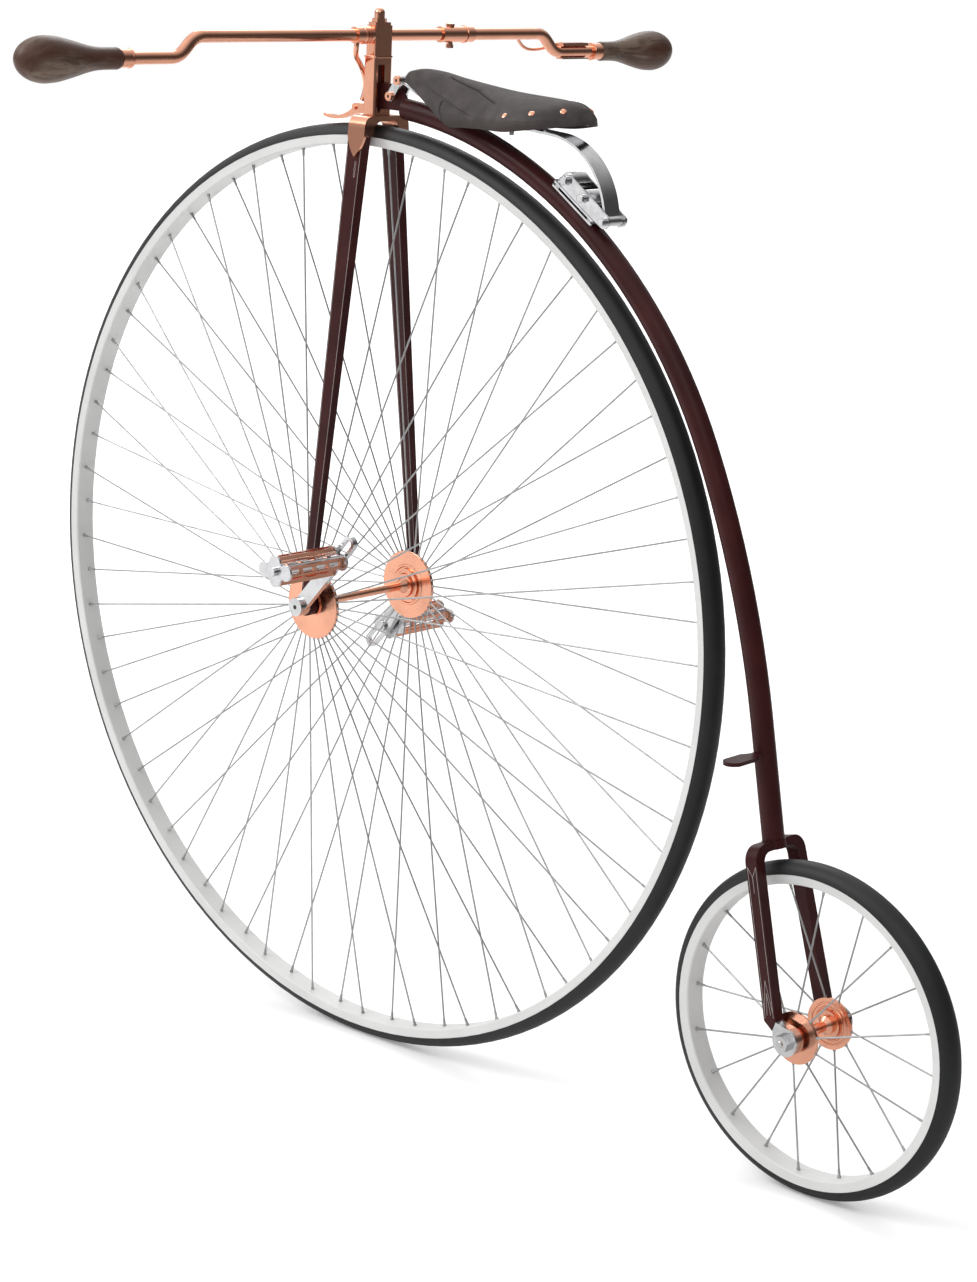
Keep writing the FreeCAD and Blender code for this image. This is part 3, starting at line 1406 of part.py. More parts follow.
def saddle_form(inset, deeper=0.0):
    """Solid loft of the saddle's sections, drawn in by an inset and opened further down."""
    wires = []
    last = len(SADDLE_SECTIONS) - 1
    for number, (ahead, half_width, crown, shoulder, low) in enumerate(SADDLE_SECTIONS):
        place = ahead + inset * ((number == last) - (number == 0))
        half = half_width - inset
        foot_left = Vector(place, half, low - deeper)
        left = Vector(place, half, shoulder - inset)
        top = Vector(place, 0, crown - inset)
        right = Vector(place, -half, shoulder - inset)
        foot_right = Vector(place, -half, low - deeper)
        wires.append(Part.Wire([
            Part.LineSegment(foot_left, left).toShape(),
            Part.Arc(left, top, right).toShape(),
            Part.LineSegment(right, foot_right).toShape(),
            Part.LineSegment(foot_right, foot_left).toShape(),
        ]))
    return Part.makeLoft(wires, True, True)


def make_saddle():
    """Leather saddle: a shell lofted from nose to tail, open below, with a slit in each flap."""
    depth = amount_of("saddle_depth")
    shell = saddle_form(0.0).cut(saddle_form(amount_of("leather"), depth))
    width = amount_of("slit_width")
    slit = Part.makeBox(width, 2 * depth, depth, Vector(
        amount_of("slit_place - slit_width / 2"), -depth, amount_of("slit_top - saddle_depth")))
    return new_feature("saddle_leather", shell.cut(slit))


# Places of the spring's two eyes, from the rider's seat.
EYE_AHEAD = f"(axle_ahead - link_high_place * cos(rake) - {LINK_HIGH_UP} * sin(rake))"
EYE_UP = f"(-axle_below - link_high_place * sin(rake) + {LINK_HIGH_UP} * cos(rake))"
PLATE_LOW = "(backbone_bend_radius + backbone_radius + seat_gap)"
PLATE_TOP = f"({PLATE_LOW} + 2 * shackle_plate_thickness + shackle_plate_space)"
ROLLER_UP = f"({PLATE_TOP} + seat_gap + roller_radius)"
PIN_RISE = f"({ROLLER_UP} - shackle_pin_drop)"
PIN_AHEAD = (f"(axle_ahead + shackle_pin_place * cos(shackle_angle)"
             f" - {PIN_RISE} * sin(shackle_angle))")
PIN_UP = (f"(-axle_below + shackle_pin_place * sin(shackle_angle)"
          f" + {PIN_RISE} * cos(shackle_angle))")

# Where the spring's front bend ends, and its two straight lengths up to the rear bend's corner.
LEAF_AHEAD = f"({EYE_AHEAD} - leaf_front_radius * (sin(leaf_front_angle) - sin(leaf_middle_angle)))"
LEAF_UP = f"({EYE_UP} - leaf_front_radius * (cos(leaf_middle_angle) - cos(leaf_front_angle)))"
LEAF_BACK = f"({LEAF_AHEAD} - {PIN_AHEAD})"
LEAF_FALL = f"({LEAF_UP} - {PIN_UP})"
LEAF_TURN = "(leaf_rear_angle - leaf_middle_angle)"
LEAF_CORNER = f"leaf_rear_radius * tan({LEAF_TURN} / 2)"
LEAF_MIDDLE = (f"(({LEAF_BACK} * sin(leaf_rear_angle) - {LEAF_FALL} * cos(leaf_rear_angle))"
               f" / sin({LEAF_TURN}) - {LEAF_CORNER})")
LEAF_TAIL = (f"(({LEAF_FALL} * cos(leaf_middle_angle) - {LEAF_BACK} * sin(leaf_middle_angle))"
             f" / sin({LEAF_TURN}) - {LEAF_CORNER})")


def rail_height(place):
    """Height of the rail's underside over the leaf's middle length."""
    return (f"{LEAF_UP} - ({LEAF_AHEAD} - ({place})) * tan(leaf_middle_angle)"
            " + leaf_thickness / 2 / cos(leaf_middle_angle) + seat_gap")


def make_saddle_frame():
    """Steel rail bolted on the leaf, with a nose block and a curved cantle under the leather."""
    depth = amount_of("saddle_depth")
    inset = amount_of("leather + seat_gap")
    plate = amount_of("rail_thickness")
    room = saddle_form(inset, depth)
    within = saddle_form(0.0).common(room)
    lining = within.cut(saddle_form(inset + plate, 2 * depth))
    far = 2 * SADDLE_SECTIONS[0][0]
    rear = Part.makeBox(far, far, far, Vector(-far - amount_of("cantle_start"), -far / 2, -far / 2))
    front = Part.makeBox(far, far, far, Vector(
        amount_of("nose_block_start"), -far / 2, amount_of("nose_block_low")))
    profile = (
        ("rail_nose", "rail_nose_height"),
        ("rail_front", rail_height("rail_front")),
        ("-rail_rear", rail_height("-rail_rear")),
        ("-rail_tail", "rail_tail_height"),
    )
    under = [Vector(amount_of(ahead), 0, amount_of(up)) for ahead, up in profile]
    over = [point + Vector(0, 0, plate) for point in reversed(under)]
    rail = Part.Face(Part.makePolygon(under + over + under[:1]))
    width = amount_of("rail_width")
    rail.translate(Vector(0, -width / 2, 0))
    rail = rail.extrude(Vector(0, width, 0))
    frame = rail.common(room).multiFuse([lining.common(rear), within.common(front)])
    return new_feature("saddle_frame", frame)


def make_leaf():
    """Long leaf spring under the saddle, with an eye at each end and a narrow front."""
    body = new_body("saddle_spring")
    path = new_sketch(body, "leaf_line", "XZ_Plane")
    draw_path(path, route((EYE_AHEAD, EYE_UP), "180 + leaf_front_angle", (
        ("-leaf_front_radius", "leaf_middle_angle - leaf_front_angle"),
        (LEAF_MIDDLE,),
        ("leaf_rear_radius", LEAF_TURN),
        (LEAF_TAIL,),
    )))
    section = section_on(body, path, "leaf_section")
    half_width, half_thick = "leaf_width / 2", "leaf_thickness / 2"
    draw_outline(section, ((half_width, half_thick), (f"-{half_width}", half_thick),
                           (f"-{half_width}", f"-{half_thick}"), (half_width, f"-{half_thick}")))
    sweep(body, path, section, "leaf")
    for side, name in ((1, "left"), (-1, "right")):
        taper = new_sketch(body, f"leaf_taper_{name}_outline", "XY_Plane")
        draw_outline(taper, (
            ("leaf_taper_start", f"{side} * leaf_width / 2"),
            ("leaf_taper_end", f"{side} * leaf_tip_width / 2"),
            ("2 * leaf_taper_end", f"{side} * leaf_tip_width / 2"),
            ("2 * leaf_taper_end", f"{side} * leaf_width"),
            ("leaf_taper_start", f"{side} * leaf_width"),
        ))
        pocket(body, taper, f"leaf_taper_{name}", "2 * leaf_taper_end")
    eyes = (
        ("front", EYE_AHEAD, EYE_UP, "leaf_tip_width", "link_bolt_radius"),
        ("rear", PIN_AHEAD, PIN_UP, "leaf_width", "shackle_pin_radius"),
    )
    for name, ahead, up, width, pin in eyes:
        eye = new_sketch(body, f"leaf_{name}_eye_outline", "XZ_Plane")
        draw_circle(eye, ahead, up, "leaf_eye_radius")
        pad(body, eye, f"leaf_{name}_eye", width)
        bore = new_sketch(body, f"leaf_{name}_bore_outline", "XZ_Plane")
        draw_circle(bore, ahead, up, f"{pin} + running_fit")
        pocket(body, bore, f"leaf_{name}_bore", "2 * leaf_width")
    return place_about(body, "seat")


def make_spring_link():
    """Two link plates between the neck and the spring's front eye."""
    body = new_body("spring_link")
    low = ("-link_low_place", LINK_LOW_UP)
    high = ("-link_high_place", LINK_HIGH_UP)
    slope = "atan(link_high_rise / (link_high_place - link_low_place))"
    ahead = f"link_half_width * sin({slope})"
    up = f"link_half_width * cos({slope})"
    for side, name in ((1, "left"), (-1, "right")):
        lift = f"{side} * (leaf_tip_width / 2 + seat_gap + link_plate_thickness / 2)"
        plate = new_sketch(body, f"link_{name}_outline", "XZ_Plane", lift)
        draw_outline(plate, (
            (f"{low[0]} + {ahead}", f"{low[1]} + {up}"),
            (f"{high[0]} + {ahead}", f"{high[1]} + {up}", "link_half_width"),
            (f"{high[0]} - {up}", f"{high[1]} + {ahead}", "link_half_width"),
            (f"{high[0]} - {ahead}", f"{high[1]} - {up}"),
            (f"{low[0]} - {ahead}", f"{low[1]} - {up}", "link_half_width"),
            (f"{low[0]} + {up}", f"{low[1]} - {ahead}", "link_half_width"),
        ))
        pad(body, plate, f"link_{name}", "link_plate_thickness")
    for name, place in (("low", low), ("high", high)):
        hole = new_sketch(body, f"link_{name}_hole_outline", "XZ_Plane")
        draw_circle(hole, *place, "link_bolt_radius + running_fit")
        pocket(body, hole, f"link_{name}_hole", "4 * leaf_tip_width")
    return place_about(body, *STEERED)


def bolts_across(label, rows, head_radius, about):
    """Bolts along Y, each row (name, ahead, up, radius, half grip, half bare length)."""
    body = new_body(label)
    for name, ahead, up, bolt_radius, grip, bare in rows:
        core = new_sketch(body, f"{label}_{name}_core", "XZ_Plane")
        draw_circle(core, ahead, up, bolt_radius)
        pad(body, core, f"{label}_{name}_shank", f"2 * ({grip} + seat_gap) + link_head_length")
        for side in (1, -1):
            word = "left" if side > 0 else "right"
            head = new_sketch(body, f"{label}_{name}_{word}_head", "XZ_Plane",
                              f"-{side} * ({grip} + seat_gap + link_head_length / 2)")
            draw_circle(head, ahead, up, head_radius)
            pad(body, head, f"{label}_{name}_{word}", "link_head_length")
            if bare is not None:
                spacer = new_sketch(body, f"{label}_{name}_{word}_spacer", "XZ_Plane",
                                    f"-{side} * ({bare} + {grip} - link_plate_thickness) / 2")
                draw_circle(spacer, ahead, up, head_radius)
                pad(body, spacer, f"{label}_{name}_{word}_sleeve",
                    f"{grip} - link_plate_thickness - {bare} - 2 * seat_gap")
    return place_about(body, *about)


def make_rear_shackle():
    """Double base plate on the backbone, two cheeks, two rollers and the pin of the rear eye."""
    about = ("front axle", "-shackle_angle")
    base = new_body("shackle_base")
    plate = "shackle_plate_thickness"
    for name, middle in (("low", f"{PLATE_LOW} + {plate} / 2"), ("high", f"{PLATE_TOP} - {plate} / 2")):
        plan = new_sketch(base, f"plate_{name}_outline", "XY_Plane", middle)
        draw_outline(plan, rounded_rectangle("shackle_plate_half_length", "shackle_half_width",
                                             "cheek_thickness", "shackle_plate_place"))
        pad(base, plan, f"plate_{name}", plate)
    middle = f"({PLATE_LOW} + {PLATE_TOP}) / 2"
    for end, word in ((1, "front"), (-1, "rear")):
        spacer = new_sketch(base, f"spacer_{word}_outline", "XY_Plane", middle)
        draw_outline(spacer, [
            (f"shackle_plate_place + {end} * shackle_spacer_place + {east} * shackle_spacer / 2",
             f"{north} * (shackle_half_width - cheek_thickness)")
            for east, north in ((1, 1), (-1, 1), (-1, -1), (1, -1))])
        pad(base, spacer, f"spacer_{word}", f"shackle_plate_space + {plate}")
        for side, hand in ((1, "left"), (-1, "right")):
            nut = new_sketch(base, f"base_nut_{word}_{hand}_outline", "XY_Plane",
                             f"{PLATE_TOP} + base_nut_height / 2")
            place = f"shackle_plate_place + {end} * base_nut_place"
            draw_outline(nut, [(f"{place} + {across}", f"{side} * base_nut_side + {up}")
                               for across, up in hexagon("base_nut_flats")])
            pad(base, nut, f"base_nut_{word}_{hand}", "base_nut_height")
    place_about(base, *about)

    cheeks = new_body("shackle_cheeks")
    half = "cheek_half_height"
    inner = "(leaf_width / 2 + seat_gap)"
    for side, name in ((1, "left"), (-1, "right")):
        cheek = new_sketch(cheeks, f"cheek_{name}_outline", "XZ_Plane",
                           f"{side} * ({inner} + cheek_thickness / 2)")
        draw_outline(cheek, (
            ("roller_high_place", f"{ROLLER_UP} + {half}"),
            ("shackle_pin_place", f"{PIN_RISE} + {half}", half),
            (f"shackle_pin_place - {half}", PIN_RISE, half),
            ("shackle_pin_place", f"{PIN_RISE} - {half}"),
            ("roller_low_place - cheek_foot", f"{PLATE_TOP} + seat_gap"),
            ("roller_high_place", f"{PLATE_TOP} + seat_gap"),
            (f"roller_high_place + {half}", f"{ROLLER_UP} - {half}"),
            (f"roller_high_place + {half}", ROLLER_UP, half),
        ))
        pad(cheeks, cheek, f"cheek_{name}", "cheek_thickness")
    holes = (
        ("roller_high", "roller_high_place", ROLLER_UP, "roller_bolt_radius"),
        ("roller_low", "roller_low_place", ROLLER_UP, "roller_bolt_radius"),
        ("pin", "shackle_pin_place", PIN_RISE, "shackle_pin_radius"),
    )
    for name, ahead, up, radius in holes:
        hole = new_sketch(cheeks, f"cheek_{name}_hole_outline", "XZ_Plane")
        draw_circle(hole, ahead, up, f"{radius} + running_fit")
        pocket(cheeks, hole, f"cheek_{name}_hole", "4 * shackle_half_width")
    place_about(cheeks, *about)

    rollers = new_body("shackle_rollers")
    for name, ahead, up, radius in holes[:2]:
        roller = new_sketch(rollers, f"{name}_outline", "XZ_Plane")
        draw_circle(roller, ahead, up, "roller_radius")
        draw_circle(roller, ahead, up, f"{radius} + running_fit")
        pad(rollers, roller, name, f"2 * ({inner} - seat_gap)")
    place_about(rollers, *about)

    grip = f"{inner} + cheek_thickness"
    bolts = [(name, ahead, up, radius, grip, None) for name, ahead, up, radius in holes]
    bolts_across("shackle_bolts", bolts, "shackle_head_radius", about)


def make_seat():
    """Saddle, the leaf that carries it, its front link and its rear shackle."""
    make_saddle()
    make_saddle_frame()
    make_leaf()
    make_spring_link()
    grip = "leaf_tip_width / 2 + seat_gap + link_plate_thickness"
    bolts_across("spring_link_bolts", (
        ("low", "-link_low_place", LINK_LOW_UP, "link_bolt_radius", grip,
         "neck_thickness / 2 + seat_gap"),
        ("high", "-link_high_place", LINK_HIGH_UP, "link_bolt_radius", grip, None),
    ), "link_head_radius", STEERED)
    make_rear_shackle()


# ---------------------------------------------------------------------------
# Build, test and write
# ---------------------------------------------------------------------------
def check_document():
    """Stop if an object failed or a sub-part has no sound shape."""
    doc.recompute()
    for thing in doc.Objects:
        if {"Invalid", "Error"} & set(thing.State):
            raise RuntimeError(f"{thing.Name} is {thing.State}")
    for body in SUBPARTS:
        if body.Shape.isNull() or not body.Shape.isValid():
            raise RuntimeError(f"{body.Label} has no sound shape")


def write_parts():
    """Write each sub-part to a file named after it."""
    for body in SUBPARTS:
        body.Shape.exportStep(f"parts/{body.Label}.step")
        print(body.Label, len(body.Shape.Solids), round(body.Shape.Volume / 1000, 2))


make_wheels()
make_frame()
make_front_end()
make_drive()
make_seat()
check_document()
write_parts()
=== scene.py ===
"""Looks of a penny farthing bicycle: paint, copper plate, chrome, leather, wood and small trim."""

import json
import math

import bmesh
import bpy
import numpy as np
from mathutils import Matrix, Vector


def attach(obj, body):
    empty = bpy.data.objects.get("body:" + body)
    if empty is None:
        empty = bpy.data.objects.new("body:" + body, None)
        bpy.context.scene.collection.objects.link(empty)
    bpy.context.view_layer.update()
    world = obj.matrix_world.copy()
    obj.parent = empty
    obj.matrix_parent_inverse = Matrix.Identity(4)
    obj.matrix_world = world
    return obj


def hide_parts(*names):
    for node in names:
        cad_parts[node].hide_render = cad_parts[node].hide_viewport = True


bl_info = {
    "name": "Penny farthing bicycle",
    "version": (1, 0, 0),
    "blender": (4, 5, 0),
    "location": "3D view > Sidebar > Penny farthing",
    "description": "Dresses the frame of a penny farthing bicycle and lights it in a pale studio",
    "category": "Object",
}

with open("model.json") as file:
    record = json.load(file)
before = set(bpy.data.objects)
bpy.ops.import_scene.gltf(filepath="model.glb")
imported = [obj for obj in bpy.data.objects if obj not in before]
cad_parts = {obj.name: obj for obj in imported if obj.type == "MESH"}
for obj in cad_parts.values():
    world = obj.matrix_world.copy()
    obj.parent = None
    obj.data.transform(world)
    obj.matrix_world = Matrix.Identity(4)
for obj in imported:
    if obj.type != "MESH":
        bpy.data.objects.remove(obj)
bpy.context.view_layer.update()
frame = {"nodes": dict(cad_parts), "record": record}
JOINTS = {joint["name"]: joint for joint in frame["record"]["behaviour"]["joints"]}

MM = 0.001
AXLE = Vector(JOINTS["front_wheel_spin"]["pos_m"])
REAR_AXLE = Vector(JOINTS["rear_wheel_spin"]["pos_m"])
STEERING = Vector(JOINTS["steering"]["axis"])
RAKE = math.atan2(-STEERING.x, STEERING.z)
REAR_RAKE = math.radians(12.5)
SHACKLE_TURN = math.radians(36.0)
FRONT_RADIUS = 0.660
GROUND = AXLE.z - FRONT_RADIUS
MERGE_WITHIN = 0.01 * MM
SHARP_EDGE = math.radians(35.0)


# --- Sizes and colours that a user would change ---
def colour(name, description, default):
    """Colour property of a finish."""
    return bpy.props.FloatVectorProperty(name=name, description=description, default=default,
                                         size=3, min=0.0, max=1.0, subtype="COLOR")


def length(name, description, default):
    """Length property, in metres."""
    return bpy.props.FloatProperty(name=name, description=description, default=default,
                                   min=0.0, subtype="DISTANCE", unit="LENGTH")


def degrees(name, description, default):
    """Angle property, its default in degrees."""
    return bpy.props.FloatProperty(name=name, description=description,
                                   default=math.radians(default), subtype="ANGLE", unit="ROTATION")


class FinishSettings(bpy.types.PropertyGroup):
    """Colours of the finishes."""
    paint: colour("Frame paint", "Dark plum paint of the frame and fork", (0.043, 0.0090, 0.0092))
    copper: colour("Copper plate", "Polished copper of bar, head and hubs", (0.88, 0.425, 0.285))
    chrome: colour("Chrome", "Bright plating of the cranks and the spring", (0.64, 0.64, 0.65))
    rim_paint: colour("Rim paint", "White paint of the rims", (0.74, 0.74, 0.73))
    spoke: colour("Spokes", "Drawn steel wire", (0.46, 0.46, 0.46))
    rubber: colour("Tyres", "Solid dark rubber", (0.0105, 0.0107, 0.0116))
    hide: colour("Leather", "Dark hide of the saddle", (0.074, 0.065, 0.063))
    hide_edge: colour("Leather edge", "Warmer brown low on the skirt", (0.050, 0.037, 0.034))
    wood: colour("Walnut", "Light grain of the grips", (0.185, 0.130, 0.096))
    wood_dark: colour("Dark walnut", "Dark grain of the grips", (0.070, 0.040, 0.029))
    wood_red: colour("Walnut heart", "Redder figure of the grips", (0.074, 0.027, 0.016))
    stripe: colour("Stripe", "Fine painted lines on the fork blades", (0.36, 0.33, 0.32))


class TrimSettings(bpy.types.PropertyGroup):
    """Sizes of the small trim."""
    rivet_radius: length("Rivet radius", "Radius of the saddle's copper rivets", 4.2 * MM)
    hide_thickness: length("Hide thickness", "Thickness of the saddle's leather", 3.6 * MM)
    stripe_width: length("Stripe width", "Width of the painted lines", 0.7 * MM)


class StageSettings(bpy.types.PropertyGroup):
    """Camera, lamps and floor."""
    camera_place: bpy.props.FloatVectorProperty(
        name="Camera place", description="Where the camera stands, from the rider's seat",
        default=(-2.5181, 2.6654, 0.1180), size=3, subtype="XYZ", unit="LENGTH")
    camera_azimuth: degrees("Camera azimuth", "Direction of view, from +X towards +Y", -46.16)
    camera_elevation: degrees("Camera elevation", "Direction of view above the horizon", -12.96)
    camera_roll: degrees("Camera roll", "Turn of the camera about its own view", 0.24)
    camera_lens: bpy.props.FloatProperty(
        name="Lens", description="Focal length for a 36 mm sensor", default=77.994,
        min=10.0, subtype="DISTANCE_CAMERA", unit="CAMERA")
    floor_width: length("Floor width", "Side of the square floor", 60.0)


# --- Shader expressions ---
class Wire:
    """A value in a material: arithmetic on it adds Math nodes."""

    def __init__(self, finish, socket):
        self.finish = finish
        self.socket = socket

    def _math(self, operation, *values):
        return self.finish.node("ShaderNodeMath", {"operation": operation}, dict(enumerate(values)))

    def __add__(self, other):
        return self._math("ADD", self, other)

    def __sub__(self, other):
        return self._math("SUBTRACT", self, other)

    def __rsub__(self, other):
        return self._math("SUBTRACT", other, self)

    def __mul__(self, other):
        return self._math("MULTIPLY", self, other)

    def __abs__(self):
        return self._math("ABSOLUTE", self)

    def rise(self, low, high):
        """0 below low, 1 above high and a smooth step between."""
        return self.finish.node("ShaderNodeMapRange", {"interpolation_type": "SMOOTHSTEP"},
                                {"Value": self, "From Min": low, "From Max": high})

    __radd__ = __add__
    __rmul__ = __mul__

    def over(self, other):
        """The larger of two values."""
        return self._math("MAXIMUM", self, other)


class Finish:
    """A material, or the studio's world, whose nodes are added one call at a time."""

    def __init__(self, name, store="materials"):
        self.material = getattr(bpy.data, store).new(name)
        self.material.use_nodes = True
        self.tree = self.material.node_tree
        self.tree.nodes.clear()

    def add(self, kind, settings=None, sockets=None):
        """Add a node: its settings first, then values or wires into its sockets."""
        made = self.tree.nodes.new(kind)
        for key, value in (settings or {}).items():
            setattr(made, key, value)
        for key, value in (sockets or {}).items():
            self.plug(made.inputs[key], value)
        return made

    def node(self, kind, settings=None, sockets=None, out=0):
        """One output of an added node."""
        return Wire(self, self.add(kind, settings, sockets).outputs[out])

    def plug(self, socket, value):
        """Give a socket a wire, a colour or a number."""
        if isinstance(value, Wire):
            self.tree.links.new(value.socket, socket)
        elif socket.type == "RGBA":
            socket.default_value = (*value, 1.0)[:4]
        else:
            socket.default_value = value

    def place(self):
        """Object coordinates."""
        return self.node("ShaderNodeTexCoord", out="Object")

    def along_bar(self, share):
        """Object coordinates whose Y, the bar's direction, is shortened to a share by a Mapping
        node, so that noise is drawn out along the bar."""
        return self.node("ShaderNodeMapping", {"vector_type": "POINT"},
                         {"Vector": self.place(), "Scale": (1.0, share, 1.0)})

    def axis(self, vector, name):
        """One coordinate of a vector: X, Y or Z."""
        return self.node("ShaderNodeSeparateXYZ", None, {"Vector": vector}, out=name)

    def noise(self, scale, detail=3.0, rough=0.5, vector=None, distortion=0.0):
        """Fractal noise between 0 and 1; scale is in cells for each metre."""
        return self.node("ShaderNodeTexNoise", None, {
            "Vector": vector or self.place(), "Scale": scale, "Detail": detail,
            "Roughness": rough, "Distortion": distortion})

    def blend(self, factor, first, second):
        """Colour between two colours."""
        return self.node("ShaderNodeMix", {"data_type": "RGBA"}, {0: factor, 6: first, 7: second}, 2)

    def bump(self, height, distance, strength=1.0):
        """Normal from a height wire; distance is the depth in metres."""
        return self.node("ShaderNodeBump", None, {
            "Height": height, "Distance": distance, "Strength": strength})

    def surface(self, **sockets):
        """Principled shader with its sockets, wired to the output."""
        named = {key.replace("_", " ").title().replace("Ior", "IOR"): value
                 for key, value in sockets.items()}
        shader = self.node("ShaderNodeBsdfPrincipled", None, named)
        self.add("ShaderNodeOutputMaterial", None, {"Surface": shader})
        return self.material


def shade(tint, amount):
    """A colour made darker or lighter by one factor."""
    return tuple(min(1.0, channel * amount) for channel in tint)


def grey(value):
    """A neutral colour."""
    return (value, value, value)


# --- Finishes ---
def plum_enamel(settings):
    """Dark plum enamel under lacquer, a little uneven where the brush went."""
    finish = Finish("plum_enamel")
    cloud = finish.noise(14.0, 3.0)
    speck = finish.noise(900.0, 2.0)
    dark, light = shade(settings.paint, 0.82), shade(settings.paint, 1.2)
    tint = finish.blend(cloud.rise(0.3, 0.7), dark, light)
    return finish.surface(
        base_color=tint, roughness=cloud * 0.10 + 0.30, specular_ior_level=0.16,
        normal=finish.bump(speck, 0.00005, 0.4))


def copper_plate(settings):
    """Polished copper plate with faint darker clouds and fine polishing marks."""
    finish = Finish("copper_plate")
    cloud = finish.noise(22.0, 4.0)
    marks = finish.noise(1200.0, 2.0, vector=finish.along_bar(0.12))
    tint = finish.blend(cloud.rise(0.35, 0.75), settings.copper, shade(settings.copper, 0.86))
    return finish.surface(
        base_color=tint, metallic=1.0, roughness=cloud * 0.10 + 0.15,
        normal=finish.bump(marks, 0.00003, 0.35))


def chrome_plate(settings):
    """Bright plating over steel, with a faint haze."""
    finish = Finish("chrome_plate")
    haze = finish.noise(60.0, 4.0)
    tint = finish.blend(haze.rise(0.35, 0.7), settings.chrome, shade(settings.chrome, 0.85))
    return finish.surface(base_color=tint, metallic=1.0, roughness=haze * 0.12 + 0.12,
                          normal=finish.bump(finish.noise(800.0), 0.00003, 0.3))


def rim_paint(settings):
    """White satin paint of the rims."""
    finish = Finish("rim_paint")
    cloud = finish.noise(9.0, 4.0)
    tint = finish.blend(cloud.rise(0.35, 0.7), settings.rim_paint, shade(settings.rim_paint, 0.93))
    return finish.surface(base_color=tint, roughness=cloud * 0.10 + 0.38,
                          normal=finish.bump(finish.noise(700.0), 0.00004, 0.3))


def drawn_wire(settings):
    """Drawn steel wire of the spokes, a little dull in places."""
    finish = Finish("drawn_wire")
    cloud = finish.noise(40.0, 3.0)
    tint = finish.blend(cloud.rise(0.3, 0.7), settings.spoke, shade(settings.spoke, 0.8))
    return finish.surface(base_color=tint, metallic=0.85, roughness=cloud * 0.15 + 0.32)


def tyre_rubber(settings):
    """Solid dark rubber with a fine grain and a dusty bloom."""
    finish = Finish("tyre_rubber")
    bloom = finish.noise(18.0, 4.0)
    grain = finish.noise(1400.0, 3.0, 0.6)
    tint = finish.blend(bloom.rise(0.35, 0.75), settings.rubber, shade(settings.rubber, 1.45))
    return finish.surface(base_color=tint, roughness=bloom * 0.12 + 0.46, specular_ior_level=0.4,
                          normal=finish.bump(grain, 0.00012, 0.6))


def grained_hide(settings):
    """Grained dark hide, browner low on the skirt; painted shade darkens the pressed-in crease."""
    finish = Finish("grained_hide")
    ahead = finish.axis(finish.place(), "X")
    side = finish.axis(finish.place(), "Y")
    height = finish.axis(finish.place(), "Z")
    pores = finish.node("ShaderNodeTexVoronoi", {"feature": "DISTANCE_TO_EDGE"},
                        {"Vector": finish.place(), "Scale": 520.0, "Randomness": 1.0})
    cloud = finish.noise(35.0, 5.0, 0.6)
    fine = finish.noise(900.0, 3.0, 0.6)
    low = 1 - height.rise(-0.041, -0.026)
    dark, light = shade(settings.hide, 0.8), shade(settings.hide, 1.35)
    hide = finish.blend(cloud.rise(0.3, 0.75), dark, light)
    tint = finish.blend(low * (cloud * 0.5 + 0.6), hide, settings.hide_edge)
    tint = finish.blend(fine.rise(0.62, 0.75) * 0.5, tint, shade(settings.hide, 2.4))
    # Painted shade: a dark line, darker than the skirt's brown, along each pressed line, standing in
    # for the shade in the crease.
    rear, bend, front = zip(*PRESSED_LINE)
    pressed = straight(ahead, rear, bend).over(straight(ahead, bend, front))
    line = 1 - abs(abs(side) - pressed).rise(0.0006, 0.0018)
    line = line * ahead.rise(-0.010, 0.0) * (1 - ahead.rise(0.100, 0.110))
    tint = finish.blend(line * 0.8, tint, shade(settings.hide_edge, 0.35))
    relief = pores.rise(0.0, 0.22) * 0.7 + fine * 0.5
    return finish.surface(base_color=tint, roughness=cloud * 0.2 + 0.55, specular_ior_level=0.16,
                          normal=finish.bump(relief, 0.0004, 0.8))


def straight(place, start, end):
    """Value at a place, in metres, on the straight line through two points in millimetres."""
    slope = (start[1] - end[1]) / (end[0] - start[0])
    return (start[1] + slope * start[0]) * MM - place * slope


def oiled_walnut(settings):
    """Oiled walnut whose grain runs along the bar."""
    finish = Finish("oiled_walnut")
    bands = finish.noise(55.0, 6.0, 0.68, vector=finish.along_bar(0.10), distortion=1.6)
    figure = finish.noise(22.0, 3.0, 0.5, vector=finish.along_bar(0.35))
    pores = finish.noise(900.0, 2.0, 0.5, vector=finish.along_bar(0.06))
    tint = finish.blend(bands.rise(0.36, 0.62), settings.wood_dark, settings.wood)
    tint = finish.blend(figure.rise(0.42, 0.58) * 0.85, tint, settings.wood_red)
    tint = finish.blend(pores.rise(0.58, 0.72) * 0.7, tint, settings.wood_dark)
    return finish.surface(base_color=tint, roughness=bands * 0.15 + 0.32, specular_ior_level=0.3,
                          normal=finish.bump(pores, 0.00025, 0.7))


def line_paint(settings):
    """Pale lining paint, laid on by brush, so a little uneven."""
    finish = Finish("line_paint")
    wear = finish.noise(160.0, 3.0)
    tint = finish.blend(wear.rise(0.35, 0.65), shade(settings.stripe, 0.8), settings.stripe)
    return finish.surface(base_color=tint, roughness=0.45)


def painted_recess_shade():
    """Painted shade of a screw's recess, for thin dark discs that stand where the recess is."""
    finish = Finish("painted_recess_shade")
    cloud = finish.noise(600.0, 2.0)
    tint = finish.blend(cloud, (0.012, 0.010, 0.010), (0.030, 0.026, 0.024))
    return finish.surface(base_color=tint, roughness=0.6)


FINISHES = {
    "plum_paint": plum_enamel,
    "copper": copper_plate,
    "chromed_steel": chrome_plate,
    "white_paint": rim_paint,
    "spoke_steel": drawn_wire,
    "dark_rubber": tyre_rubber,
    "saddle_hide": grained_hide,
    "walnut": oiled_walnut,
}


def once(make, *settings):
    """The material of a finish, made the first time it is asked for."""
    return bpy.data.materials.get(make.__name__) or make(*settings)


def finish_of(slot):
    """The material of one of the record's slots."""
    return once(FINISHES[slot], bpy.context.scene.bicycle_finishes)


